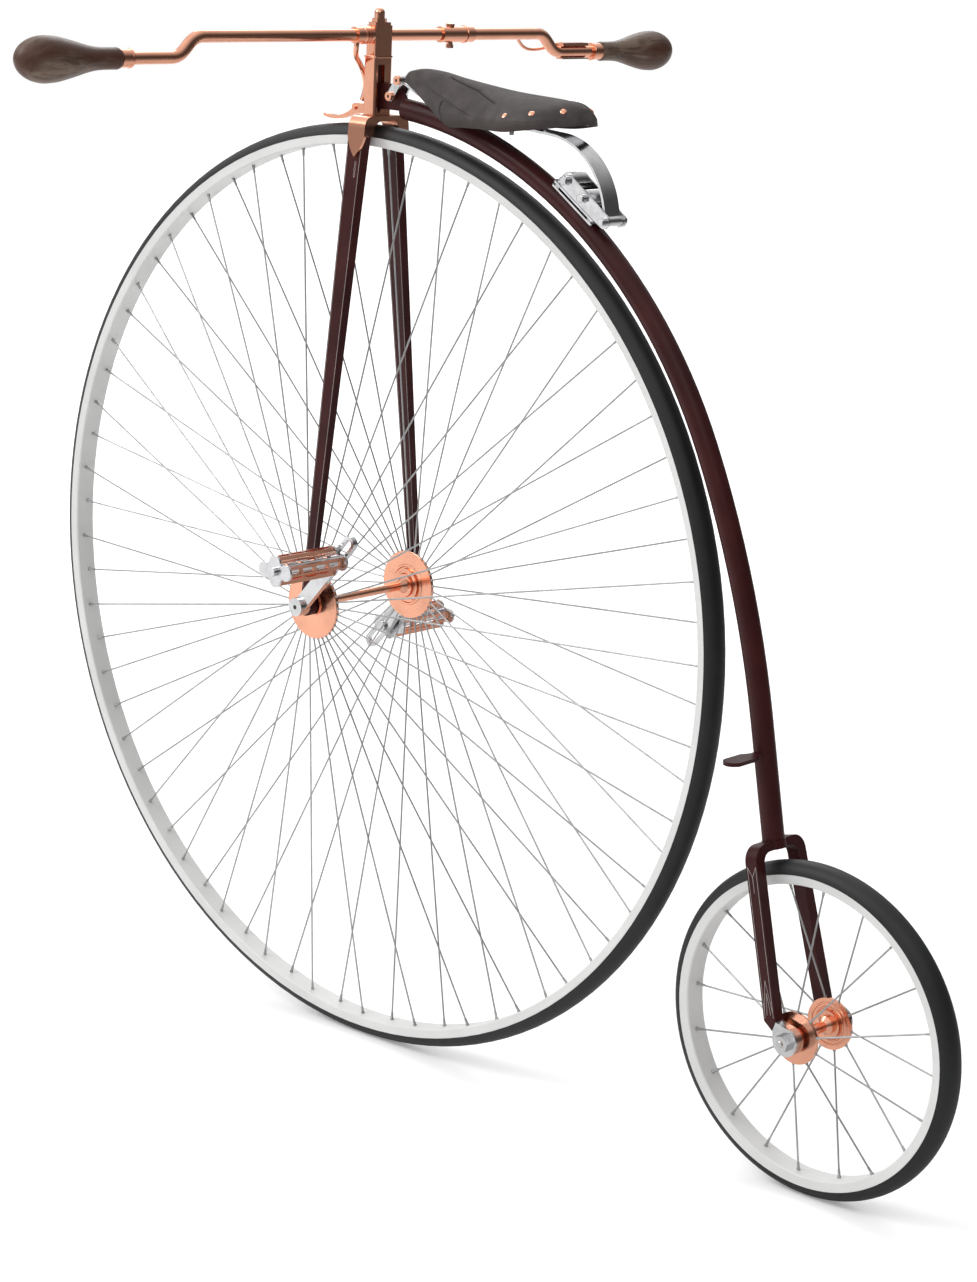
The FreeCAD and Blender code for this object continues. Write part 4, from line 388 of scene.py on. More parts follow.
# --- Shapes, in millimetres until they are placed ---
def leaning(points, angle, centre):
    """Points turned about Y so that their up leans back, then moved to a centre; in metres."""
    points = np.asarray(points, float)
    ahead, side, up = points[..., 0], points[..., 1], points[..., 2]
    turned = np.stack([ahead * math.cos(angle) - up * math.sin(angle), side,
                       ahead * math.sin(angle) + up * math.cos(angle)], axis=-1)
    return turned * MM + np.array(centre)


def on_fork(points):
    """Points of the steered front end, whose up runs along the steering axis."""
    return leaning(points, RAKE, AXLE)


def on_rear_fork(points):
    """Points of the rear fork, which leans forward from the rear axle."""
    return leaning(points, -REAR_RAKE, REAR_AXLE)


def on_shackle(points):
    """Points of the spring's rear shackle, about the front axle."""
    return leaning(points, SHACKLE_TURN, AXLE)


def on_front_axle(points):
    """Points about the front axle."""
    return leaning(points, 0.0, AXLE)


def on_rear_axle(points):
    """Points about the rear axle."""
    return leaning(points, 0.0, REAR_AXLE)


def on_seat(points):
    """Points measured from the rider's seat."""
    return np.asarray(points, float) * MM


def grid_faces(rows, columns, wrap=False):
    """Four-cornered faces of a grid of points, its columns joined end to end if wrapped."""
    across = columns if wrap else columns - 1
    row, column = np.meshgrid(np.arange(rows - 1), np.arange(across), indexing="ij")
    row, column = row.ravel(), column.ravel()
    after = (column + 1) % columns
    return np.stack([row * columns + column, row * columns + after,
                     (row + 1) * columns + after, (row + 1) * columns + column], axis=1)


def lathed(profile, start, along, sides=24):
    """Surface of revolution: each profile row (distance, radius) is a ring round the axis that
    runs from start in the direction along; radius 0 closes an end."""
    along = np.array(along, float) / np.linalg.norm(along)
    helper = np.array((0.0, 0.0, 1.0)) if abs(along[2]) < 0.9 else np.array((1.0, 0.0, 0.0))
    east = np.cross(along, helper)
    east /= np.linalg.norm(east)
    north = np.cross(along, east)
    turn = np.arange(sides) * 2 * math.pi / sides
    ring = np.cos(turn)[:, None] * east + np.sin(turn)[:, None] * north
    profile = np.array(profile, float)
    points = (np.array(start, float) + profile[:, 0, None, None] * along
              + profile[:, 1, None, None] * ring[None])
    return points.reshape(-1, 3), grid_faces(len(profile), sides, wrap=True)


def strip(line, across, out, width, thickness):
    """Thin strip: a rectangle of width by thickness carried along a line, closed at both ends;
    across and out are the rectangle's own directions."""
    line = np.asarray(line, float)
    across = np.broadcast_to(np.asarray(across, float), line.shape)
    out = np.broadcast_to(np.asarray(out, float), line.shape)
    half = across * width / 2
    points = np.stack([line - half, line + half, line + half + out * thickness,
                       line - half + out * thickness], axis=1)
    faces = grid_faces(len(line), 4, wrap=True)
    last = 4 * (len(line) - 1)
    ends = np.array([(3, 2, 1, 0), (last, last + 1, last + 2, last + 3)])
    return points.reshape(-1, 3), np.concatenate([faces, ends])


def rod(route, radius, steps=72, sides=16):
    """Round rod: a circle carried along a smooth curve that comes from averaging the route's
    straight lines over a short length, and closed at both ends."""
    route = np.array(route, float)
    run = np.concatenate([[0], np.cumsum(np.linalg.norm(np.diff(route, axis=0), axis=1))])
    reach = run[-1] * 0.09
    at = np.linspace(0, run[-1], steps)
    spread = np.minimum(np.minimum(at, run[-1] - at), reach)
    shift = np.linspace(-1, 1, 15)
    where = at[:, None] + spread[:, None] * shift
    line = np.stack([np.interp(where, run, route[:, k]).mean(axis=1) for k in range(3)], axis=1)
    along = np.gradient(line, axis=0)
    along /= np.linalg.norm(along, axis=1)[:, None]
    east = np.cross(along, (0.94, 0.0, 0.34))
    east /= np.linalg.norm(east, axis=1)[:, None]
    north = np.cross(along, east)
    turn = np.arange(sides) * 2 * math.pi / sides
    ring = np.cos(turn)[:, None] * east[:, None] + np.sin(turn)[:, None] * north[:, None]
    points = line[:, None] + radius * ring
    points = np.concatenate([np.repeat(line[:1, None], sides, axis=1), points,
                             np.repeat(line[-1:, None], sides, axis=1)])
    return points.reshape(-1, 3), grid_faces(len(points), sides, wrap=True)


def squared_ring(rows, half_ahead, half_side, power=0.30, sides=48):
    """Ring with rounded corners: at each turn, half a side times the sine or cosine raised to a
    low power; each row (up, grow) is that outline at a height, made larger or smaller."""
    turn = np.linspace(0, 2 * math.pi, sides, endpoint=False)
    ahead = half_ahead * np.sign(np.cos(turn)) * np.abs(np.cos(turn)) ** power
    side = half_side * np.sign(np.sin(turn)) * np.abs(np.sin(turn)) ** power
    points = np.concatenate([np.stack([ahead * grow, side * grow, np.full_like(turn, up)], axis=1)
                             for up, grow in rows])
    return points, grid_faces(len(rows), sides, wrap=True)


def joined(shapes):
    """Several (points, faces) as one."""
    points, faces, count = [], [], 0
    for some_points, some_faces in shapes:
        points.append(some_points)
        faces.append(some_faces + count)
        count += len(some_points)
    return np.concatenate(points), np.concatenate(faces)


def piece(name, shape, place, slot, body, smooth=True, material=None):
    """Make one object of (points, faces), placed by a function, finished and riding on a body."""
    points, faces = shape
    mesh = bpy.data.meshes.new(name)
    mesh.from_pydata(place(points).tolist(), [], faces.tolist())
    made = bmesh.new()
    made.from_mesh(mesh)
    bmesh.ops.remove_doubles(made, verts=made.verts, dist=MERGE_WITHIN)
    bmesh.ops.recalc_face_normals(made, faces=made.faces)
    made.to_mesh(mesh)
    made.free()
    mesh.materials.append(material or finish_of(slot))
    thing = bpy.data.objects.new(name, mesh)
    bpy.context.collection.objects.link(thing)
    if smooth:
        mesh.shade_smooth()
        mesh.set_sharp_from_angle(angle=SHARP_EDGE)
    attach(thing, body)
    return thing


def hexagon(flats, height):
    """Profile of a hexagon head with a chamfered outer edge, for a lathed shape of six sides."""
    radius = flats / math.sqrt(3.0)
    edge = 0.12 * flats
    return (0, 0), (0, radius), (height - edge / 2, radius), (height, radius - edge), (height, 0)


def pair(profile, start, sides):
    """The same lathed shape on the left and the right, pointing outwards."""
    ahead, side, up = start
    return [lathed(profile, (ahead, hand * side, up), (0, hand, 0), sides) for hand in (1, -1)]


# --- Places and sizes of the trim, in millimetres, in the frame of the part that carries it. ---
# A profile's rows are (distance along the axis, radius).
# front blades at their tip and top: up, from the middle, width, thickness
BLADE_LOW = (12.0, 105.0, 16.0, 9.0)
BLADE_HIGH = (645.0, 30.8, 29.0, 14.5)
# painted lines: from and to up the blade, and how far from its edge; height of the paint
BLADE_LINE, LINE_INSET, PAINT_HEIGHT = (24.0, 628.0), 1.6, 0.12
# small chain below the lug: its top, drop, sway, place ahead and line width
CHAIN_TOP, CHAIN_DROP, CHAIN_SWAY, CHAIN_AHEAD, CHAIN_WIDTH = 612.0, 22.0, 1.5, -5.0, 0.7
# rear blades: ahead of the axle, from the middle at the foot and at the top, height of that top
REAR_BLADE_AHEAD, REAR_BLADE_FOOT, REAR_BLADE_SPAN, REAR_BLADE_TOP = 18.1, 60.0, 50.0, 224.7
REAR_STROKES = (
    # start and end of each painted stroke: across the blade and up it
    ((6.6, 30.0), (6.6, 221.0)), ((-6.6, 30.0), (-6.6, 221.0)),
    ((6.6, 221.0), (0.0, 208.0)), ((-6.6, 221.0), (0.0, 208.0)), ((0.0, 208.0), (0.0, 188.0)),
    ((0.0, 78.0), (6.6, 36.0)), ((0.0, 78.0), (-6.6, 36.0)),
    ((0.0, 62.0), (3.0, 34.0)), ((0.0, 62.0), (-3.0, 34.0)),
)

# screw recesses of the spring link's bolts, as discs of painted shade: ahead and up of each
# bolt, and where its head ends
LINK_BOLTS, LINK_BOLT_END = ((-37.0, 700.5), (-51.8, 722.5)), 15.6
LINK_SCREW_SHADE = ((0, 0), (0, 2.4), (0.3, 2.1), (0.3, 0))
# shackle's bolts: along and up of each, and its head's width over flats; where the heads start
SHACKLE_BOLTS = ((29.0, 721.4, 11.0), (-7.0, 721.4, 11.0), (-52.0, 719.9, 9.5))
SHACKLE_HEAD_START, SHACKLE_HEAD_HEIGHT = 20.8, 3.0
REAR_AXLE_END, AXLE_STUB = 67.0, ((0, 0), (0, 4.4), (1.6, 4.4), (2.2, 3.6), (2.2, 0))

# seam ring of the head: its half sizes, then its rows of height and growth
SEAM_HALF = (12.2, 17.2)
SEAM_ROWS = ((748.9, 0.94), (748.9, 1.0), (749.6, 1.02), (751.0, 1.02), (751.7, 1.0), (751.7, 0.94))
BAR_UP, BAR_LOW = 779.0, 752.9
END_RING = ((-1.0, 8.3), (-1.0, 12.0), (-0.4, 12.6), (0.8, 12.6), (1.4, 12.0), (1.4, 8.3))
COLLAR_RIDGE = ((-1.6, 10.6), (-1.0, 12.2), (0.6, 12.2), (1.2, 10.6))
SLEEVE_RING = ((-1.2, 8.4), (-1.2, 11.6), (-0.6, 12.2), (0.6, 12.2), (1.2, 11.6), (1.2, 8.4))
COLLAR_RING = ((-2.0, 8.3), (-2.0, 10.2), (-1.2, 11.0), (1.2, 11.0), (2.0, 10.2), (2.0, 8.3))
BAR_RINGS = (
    # from the middle, height, profile
    (-163.0, BAR_UP, SLEEVE_RING),
    (40.5, BAR_UP, COLLAR_RING),
    (430.5, BAR_LOW, END_RING),
    (-430.5, BAR_LOW, END_RING),
    (22.0, BAR_UP, COLLAR_RIDGE),
    (27.0, BAR_UP, COLLAR_RIDGE),
    (32.0, BAR_UP, COLLAR_RIDGE),
)
# clamp bolt: from the middle and from the bar's axis; heads as flats and height; the washer
CLAMP_PLACE, CLAMP_REACH, CLAMP_HEAD, CLAMP_NUT = -136.0, 10.4, (11.0, 4.6), (9.5, 5.2)
CLAMP_WASHER, CLAMP_WASHER_HEIGHT = ((0, 0), (0, 4.4), (3.4, 4.4), (3.4, 0)), 3.2
# plates of the lever's seat on the low bar: their run and width, then each bottom and thickness
SEAT_RUN, SEAT_WIDTH = (-363.0, -390.0, -417.0), 13.0
SEAT_PLATES = ((BAR_LOW + 8.6, 4.2), (BAR_LOW - 10.0, 1.6))
# brake strap and lever: points (ahead, side, up) of each route, and the radius
STRAP = ((0.0, 41.0, 768.5), (1.0, 41.0, 760.0), (10.0, 33.0, 750.0), (18.0, 17.0, 740.0),
         (22.5, 5.0, 728.0), (23.0, 0.0, 715.0), (23.0, 0.0, 703.0), (29.0, 0.0, 690.0))
LEVER = ((8.0, -281.0, 773.0), (13.0, -291.0, 766.0), (16.0, -305.0, 757.5), (16.0, -322.0, 755.0),
         (15.5, -345.0, 757.0), (12.0, -360.0, 762.5), (4.0, -372.0, 765.0))
STRAP_RADIUS, LEVER_RADIUS = 3.6, 2.2
# grips: where they start on the bar, length of the rounded tip, and the profile up to the belly
GRIP_START, GRIP_TIP = 447.0, 42.0
GRIP = ((0.0, 11.6), (2.2, 13.2), (10.0, 13.7), (26.0, 13.9), (40.0, 15.0), (55.0, 17.9),
        (70.0, 21.6), (85.0, 25.1), (100.0, 27.9), (114.0, 28.9))

# rings on the flanges: face from the middle, radius, half width at foot and crest, height
FRONT_HUB_RINGS = ((90.4, 28.0, 2.2, 1.2, 1.4), (86.0, 19.0, 2.2, 1.2, 1.2))
REAR_HUB_RINGS = ((33.3, 27.5, 1.4, 0.7, 1.0), (33.3, 22.0, 1.4, 0.7, 1.0))
FRONT_FLANGE, FLANGE_RIM = 93.0, ((-2.4, 48.6), (-1.6, 49.5), (1.6, 49.5), (2.4, 48.6))
CRANK_END, CRANK_CENTRE_SHADE = 128.5, ((0.0, 0), (0.0, 3.2), (0.3, 3.0), (0.3, 0))
WHEELS = (
    # name, body, place, rim foot, flange radius, flange place, spokes, first turn
    ("front_spoke_ends", "front_wheel", on_front_axle, 631.4, 49.0, FRONT_FLANGE, 72, 0.0),
    ("rear_spoke_ends", "rear_wheel", on_rear_axle, 191.8, 34.0, 35.4, 20, 32.0),
)
SPOKE_RIM_OFFSET = 3.0
NIPPLE = ((-11.0, 0), (-11.0, 1.7), (-3.0, 1.9), (-2.0, 2.6), (0.4, 2.6), (0.4, 0))
SPOKE_CUP = ((-0.6, 0), (-0.6, 2.0), (1.6, 2.0), (2.6, 1.5), (2.6, 0))

# rivets: ahead of the seat and from the middle; their dome's rows of height and share of radius
RIVETS = ((-41.5, 62.0), (-80.0, 52.0), (-112.0, 27.0))
RIVET_DOME = ((-0.5, 0), (-0.5, 1), (0.25, 1), (0.8, 0.82), (1.25, 0.5), (1.4, 0))
SADDLE_BOLT_PLACE = (-4.0, 8.0, -42.0)
SADDLE_BOLT = ((0, 0), (0, 5.5), (3.0, 5.5), (3.0, 3.2), (7.5, 3.2), (8.5, 2.2), (8.5, 0))


# --- The saddle's surface ---
SADDLE = np.array((
    # ahead of the seat, half width, crown height, fold height, lower edge
    (190.0, 14.5, 27.0, 21.0, 16.0),
    (168.0, 18.5, 30.5, 18.0, 5.0),
    (130.0, 25.0, 28.0, 8.0, -18.0),
    (95.0, 30.0, 21.0, -6.0, -40.0),
    (50.0, 41.0, 13.0, -21.0, -42.0),
    (0.0, 56.0, 5.0, -28.0, -42.0),
    (-45.0, 69.0, 0.0, -29.5, -43.0),
    (-80.0, 68.0, -3.5, -28.5, -40.0),
    (-110.0, 67.0, -7.0, -28.0, -37.0),
    (-128.0, 67.0, -14.0, -28.5, -34.5),
))
CROWN_POWER = 2.4
NOSE_ROUND, NOSE_POWER = 9.0, 2.5
TAIL_ROUND, TAIL_POWER = 68.0, 1.7
# slit in both flaps: from and to ahead of the seat, and the rows of skirt that stay above it
SLIT, SLIT_TOP_ROWS = (100.6, 102.3), 3
# pressed line: three places ahead, their distances from the middle; its depth and half width
PRESSED_LINE = ((-8.0, 44.0, 112.0), (41.0, 21.0, 8.0))
PRESSED_DEPTH, PRESSED_HALF = 1.7, 1.5
# skirt: bulge in the front part, crease under the fold (depth, place, half width), lean outwards
SKIRT_BULGE, CREASE, SKIRT_LEAN = 5.0, (2.8, 0.15, 0.10), 1.5
# cantle: room kept inside the hide, where it starts, half width of the rail, reach of one row
HIDE_MARGIN, CANTLE_PLACE, RAIL_REACH, CANTLE_ROW = 6.0, -50.0, 11.5, 3.0


def flowing(x, y, place):
    """Cubic curve through points at any place, each point's slope taken from its neighbours."""
    slope = np.gradient(y, x)
    index = np.clip(np.searchsorted(x, place) - 1, 0, len(x) - 2)
    step = x[index + 1] - x[index]
    t = np.clip((place - x[index]) / step, 0.0, 1.0)
    return (y[index] * (1 + 2 * t) * (1 - t) ** 2 + y[index + 1] * t * t * (3 - 2 * t)
            + slope[index] * step * t * (1 - t) ** 2 - slope[index + 1] * step * t * t * (1 - t))


def eased(place, column):
    """A column of the saddle's table at any place."""
    table = SADDLE[::-1]
    return flowing(table[:, 0], table[:, column], place)


def saddle_width(place):
    """Half width of the hide: the table's curve times a rounded end at the nose and the tail."""
    front, rear = SADDLE[0, 0], SADDLE[-1, 0]
    nose = np.clip((place - (front - NOSE_ROUND)) / NOSE_ROUND, 0, 1)
    tail = np.clip(((rear + TAIL_ROUND) - place) / TAIL_ROUND, 0, 1)
    return (eased(place, 1) * (1 - nose ** NOSE_POWER) ** (1 / NOSE_POWER)
            * (1 - tail ** TAIL_POWER) ** (1 / TAIL_POWER))


def saddle_top(place, side):
    """Height of the hide's top: the crown less a fall towards the fold that grows with a power of
    the share of the half width, less a pressed line on each side that spreads rearwards."""
    width = np.maximum(saddle_width(place), 1e-6)
    ratio = np.clip(np.abs(side) / width, 0, 1)
    fall = eased(place, 2) - eased(place, 3)
    along = np.clip((108.0 - place) / 10.0, 0, 1) * np.clip((place + 10.0) / 10.0, 0, 1)
    off = (np.abs(side) - np.interp(place, *PRESSED_LINE)) / PRESSED_HALF
    return eased(place, 2) - fall * ratio ** CROWN_POWER - PRESSED_DEPTH * along * np.exp(-off ** 2)


def saddle_surface(lengthways=150, crossways=111, skirt=18):
    """Hide of the saddle: along it the places crowd towards nose and tail; across it runs the
    lower edge, the flap up to the fold, the top with its points crowded at the middle, and back.
    A flap leans outwards, with a sine bulge less a bell-shaped crease in the front part. The faces
    between the slit's two places are left out of both flaps."""
    turn = np.linspace(0, math.pi, lengthways)
    front, rear = SADDLE[0, 0], SADDLE[-1, 0]
    place = (front + rear) / 2 + (front - rear) / 2 * np.cos(turn)
    place = np.sort(np.append(place, SLIT))[::-1]
    lengthways = len(place)
    width = saddle_width(place)
    across = np.linspace(-1, 1, crossways)
    across = np.sign(across) * np.abs(across) ** 1.35
    ahead = np.broadcast_to(place[:, None], (lengthways, crossways))
    side = width[:, None] * across
    top = np.stack([ahead, side, saddle_top(ahead, side)], axis=-1)
    down = np.linspace(0, 1, skirt + 1)[1:]
    fold = saddle_top(place, width)
    low = np.minimum(eased(place, 4), fold - 2.0)
    front_part = np.clip((place - 20.0) / 40.0, 0, 1) * np.clip((150.0 - place) / 40.0, 0, 1)
    crease = CREASE[0] * np.exp(-((down - CREASE[1]) / CREASE[2]) ** 2)
    bulge = SKIRT_BULGE * np.sin(down * math.pi) ** 1.5
    flare = front_part[:, None] * (bulge - crease) + SKIRT_LEAN * down
    out = width[:, None] + flare * np.clip(width / 12.0, 0, 1)[:, None]
    fall = fold[:, None] + (low - fold)[:, None] * down
    flap = np.stack([np.broadcast_to(place[:, None], fall.shape), out, fall], axis=-1)
    mirrored = flap[:, ::-1] * np.array((1.0, -1.0, 1.0))
    points = np.concatenate([mirrored, top, flap], axis=1)
    columns = points.shape[1]
    faces = grid_faces(lengthways, columns)
    row, column = faces[:, 0] // columns, faces[:, 0] % columns
    beside = np.minimum(column, columns - 2 - column)
    open_slit = (row == int(np.argmin(np.abs(place - SLIT[1])))) & (beside < skirt - SLIT_TOP_ROWS)
    return points.reshape(-1, 3), faces[~open_slit]


def top_normal(place, side):
    """Upward direction square to the saddle's top, from its slopes."""
    step = 2.0
    along = (saddle_top(place + step, side) - saddle_top(place - step, side)) / (2 * step)
    across = (saddle_top(place, side + step) - saddle_top(place, side - step)) / (2 * step)
    normal = np.array((-float(along), -float(across), 1.0))
    return normal / np.linalg.norm(normal)


# --- Operators ---
class BICYCLE_OT_dress_bodies(bpy.types.Operator):
    """Give every piece of the frame its procedural finish"""
    bl_idname = "bicycle.dress_bodies"
    bl_label = "Dress the frame"

    def execute(self, context):
        for part in frame["record"]["subparts"]:
            mesh = frame["nodes"][part["node"]].data
            mesh.materials.clear()
            mesh.materials.append(finish_of(part["material_slot"]))
        return {"FINISHED"}


class BICYCLE_OT_saddle(bpy.types.Operator):
    """Make the saddle's moulded hide, the steel under it, the rivets and the bolt"""
    bl_idname = "bicycle.saddle"
    bl_label = "Saddle"

    def execute(self, context):
        trim = context.scene.bicycle_trim
        hide = piece("saddle_hide", saddle_surface(), on_seat, "saddle_hide", "frame")
        wall = hide.modifiers.new("thickness", "SOLIDIFY")
        wall.thickness = trim.hide_thickness
        wall.offset = -1.0
        self.apply_modifiers(hide)
        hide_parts("saddle_leather")
        steel = piece("saddle_steel", self.steel(), on_seat, "chromed_steel", "frame")
        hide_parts("saddle_frame")
        radius = trim.rivet_radius / MM
        dome = [(height, radius * share) for height, share in RIVET_DOME]
        rivets = []
        for ahead, side in RIVETS:
            for hand in (1, -1):
                base = (ahead, hand * side, float(saddle_top(ahead, hand * side)))
                rivets.append(lathed(dome, base, top_normal(ahead, hand * side), 20))
        piece("saddle_rivets", joined(rivets), on_seat, "copper", "frame")
        piece("saddle_bolt", lathed(SADDLE_BOLT, SADDLE_BOLT_PLACE, (0, 0, -1), 6), on_seat,
              "spoke_steel", "frame", smooth=False)
        return {"FINISHED"}

    def steel(self):
        """The frame's saddle steel with its cantle drawn in under the hide: behind the seat each
        place across is a share of the steel's reach there, and keeps that share of the hide's
        half width less a margin."""
        source = frame["nodes"]["saddle_frame"].data
        points = np.empty(len(source.vertices) * 3)
        source.vertices.foreach_get("co", points)
        points = points.reshape(-1, 3) / MM
        corners = np.empty(len(source.loops), dtype=int)
        source.loops.foreach_get("vertex_index", corners)
        beside = np.abs(points[:, None, 0] - points[None, :, 0]) < CANTLE_ROW
        reach = np.where(beside, np.abs(points[None, :, 1]), 0.0).max(axis=1)
        room = np.maximum(saddle_width(points[:, 0]) - HIDE_MARGIN, 1.0)
        drawn = points[:, 1] / np.maximum(reach, 1.0) * np.minimum(room, reach)
        cantle = (points[:, 0] < CANTLE_PLACE) & (np.abs(points[:, 1]) > RAIL_REACH)
        points[:, 1] = np.where(cantle, drawn, points[:, 1])
        return points, corners.reshape(-1, 3)

    def apply_modifiers(self, thing):
        """Put the modifiers' result in the mesh."""
        depsgraph = bpy.context.evaluated_depsgraph_get()
        mesh = bpy.data.meshes.new_from_object(thing.evaluated_get(depsgraph))
        thing.modifiers.clear()
        thing.data = mesh


class BICYCLE_OT_lines(bpy.types.Operator):
    """Draw the fine painted lines of the front and rear fork"""
    bl_idname = "bicycle.lines"
    bl_label = "Painted lines"

    def execute(self, context):
        width = context.scene.bicycle_trim.stripe_width / MM
        paint = once(line_paint, context.scene.bicycle_finishes)
        piece("fork_lines", joined(self.front_lines(width)), on_fork, None, "fork", smooth=False,
              material=paint)
        piece("rear_fork_lines", joined(self.rear_lines(width)), on_rear_fork, None, "frame",
              smooth=False, material=paint)
        return {"FINISHED"}

    def blade(self, up):
        """Distance from the middle, half width and half thickness of a front blade at a height."""
        share = (up - BLADE_LOW[0]) / (BLADE_HIGH[0] - BLADE_LOW[0])
        middle, width, thickness = (low + share * (high - low)
                                    for low, high in zip(BLADE_LOW[1:], BLADE_HIGH[1:]))
        return middle, width / 2, thickness / 2

    def front_lines(self, width):
        """Lines by both edges of each blade's outer and inner face, and a small chain of two
        crossing sine waves below the lug."""
        shapes = []
        up = np.linspace(*BLADE_LINE, 40)
        middle, half, thick = self.blade(up)
        turn = np.linspace(0, 3 * math.pi, 40)
        fall = CHAIN_TOP - turn / (3 * math.pi) * CHAIN_DROP
        chain_middle, _, chain_thick = self.blade(fall)
        for hand in (1, -1):
            for face in (1, -1):
                side = hand * (middle + face * thick)
                for edge in (1, -1):
                    line = np.stack([edge * (half - LINE_INSET), side, up], axis=1)
                    shapes.append(strip(line, (edge, 0, 0), (0, hand * face, 0), width,
                                        PAINT_HEIGHT))
            for swing in (1, -1):
                sway = swing * CHAIN_SWAY * np.sin(turn) + CHAIN_AHEAD
                line = np.stack([sway, hand * (chain_middle + chain_thick), fall], axis=1)
                shapes.append(strip(line, (1, 0, 0), (0, hand, 0), CHAIN_WIDTH, PAINT_HEIGHT))
        return shapes

    def rear_lines(self, width):
        """Lines by both edges of the outer faces, a Y at the top and a narrow A at the bottom."""
        shapes = []
        share = np.linspace(0, 1, 6)
        for hand in (1, -1):
            for start, end in REAR_STROKES:
                across = start[0] + share * (end[0] - start[0])
                up = start[1] + share * (end[1] - start[1])
                out = REAR_BLADE_FOOT + up / REAR_BLADE_TOP * (REAR_BLADE_SPAN - REAR_BLADE_FOOT)
                line = np.stack([REAR_BLADE_AHEAD + across, hand * out, up], axis=1)
                shapes.append(strip(line, (1, 0, 0), (0, hand, 0), width, PAINT_HEIGHT))
        return shapes


class BICYCLE_OT_spoke_ends(bpy.types.Operator):
    """Make the nipples where the spokes enter the rims and the flanges"""
    bl_idname = "bicycle.spoke_ends"
    bl_label = "Spoke ends"

    def execute(self, context):
        for name, body, place, foot, flange_radius, flange_place, count, first in WHEELS:
            ends = []
            for number in range(count):
                hand = 1 if number % 2 == 0 else -1
                turn = math.radians(first + number * 360.0 / count)
                out = np.array((math.sin(turn), 0.0, math.cos(turn)))
                near = out * flange_radius + np.array((0.0, hand * flange_place, 0.0))
                far = out * foot + np.array((0.0, hand * SPOKE_RIM_OFFSET, 0.0))
                ends.append(lathed(NIPPLE, far, far - near, 8))
                ends.append(lathed(SPOKE_CUP, near, far - near, 8))
            piece(name, joined(ends), place, "spoke_steel", body)
        return {"FINISHED"}


class BICYCLE_OT_head_trim(bpy.types.Operator):
    """Make the head's seam ring and discs of painted shade in the link bolts' screw recesses"""
    bl_idname = "bicycle.head_trim"
    bl_label = "Head trim"

    def execute(self, context):
        piece("head_seam_ring", squared_ring(SEAM_ROWS, *SEAM_HALF), on_fork, "copper", "fork")
        recess_shades = []
        # Painted shade: a thin dark disc on each bolt's end stands for its screw recess.
        for ahead, up in LINK_BOLTS:
            recess_shades += pair(LINK_SCREW_SHADE, (ahead, LINK_BOLT_END, up), 6)
        piece("link_screw_shade", joined(recess_shades), on_fork, None, "frame", smooth=False,
              material=once(painted_recess_shade))
        return {"FINISHED"}


class BICYCLE_OT_bar_trim(bpy.types.Operator):
    """Make the bar's rings, clamp bolt and lever seat, the brake lever and the brake strap"""
    bl_idname = "bicycle.bar_trim"
    bl_label = "Bar trim"

    def execute(self, context):
        shapes = [lathed(profile, (0, place, up), (0, 1, 0), 36)
                  for place, up, profile in BAR_RINGS]
        top, foot = BAR_UP + CLAMP_REACH, BAR_UP - CLAMP_REACH
        nut = foot - CLAMP_WASHER_HEIGHT
        shapes.append(lathed(hexagon(*CLAMP_HEAD), (0, CLAMP_PLACE, top), (0, 0, 1), 6))
        shapes.append(lathed(CLAMP_WASHER, (0, CLAMP_PLACE, foot), (0, 0, -1), 20))
        shapes.append(lathed(hexagon(*CLAMP_NUT), (0, CLAMP_PLACE, nut), (0, 0, -1), 6))
        for bottom, thickness in SEAT_PLATES:
            line = np.array([(0.0, place, bottom) for place in SEAT_RUN])
            shapes.append(strip(line, (1, 0, 0), (0, 0, 1), SEAT_WIDTH, thickness))
        piece("bar_trim", joined(shapes), on_fork, "copper", "fork")
        strap = piece("brake_strap", rod(STRAP, STRAP_RADIUS), on_fork, "copper", "fork")
        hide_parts("brake_rod")
        lever = piece("brake_lever_blade", rod(LEVER, LEVER_RADIUS), on_fork, "copper", "fork")
        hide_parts("brake_lever")
        return {"FINISHED"}


class BICYCLE_OT_grips(bpy.types.Operator):
    """Turn the two pear-shaped walnut grips"""
    bl_idname = "bicycle.grips"
    bl_label = "Grips"

    def execute(self, context):
        for word, hand in (("left", 1), ("right", -1)):
            turned = lathed(self.profile(), (0, hand * GRIP_START, BAR_LOW), (0, hand, 0), 64)
            grip = piece(f"walnut_grip_{word}", turned, on_fork, "walnut", "fork")
            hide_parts(f"grip_{word}")
        return {"FINISHED"}

    def profile(self):
        """Outline of a grip: a cubic curve through the table up to the belly, then a quarter of an
        ellipse to the tip."""
        table = np.array(GRIP)
        place = np.linspace(table[0, 0], table[-1, 0], 48)
        neck = np.stack([place, flowing(table[:, 0], table[:, 1], place)], axis=1)
        turn = np.linspace(0, math.pi / 2, 20)[1:]
        belly, reach = table[-1]
        tip = np.stack([belly + GRIP_TIP * np.sin(turn), reach * np.cos(turn)], axis=1)
        tip[-1, 1] = 0.0
        return np.concatenate([[(table[0, 0], 0.0)], neck, tip])


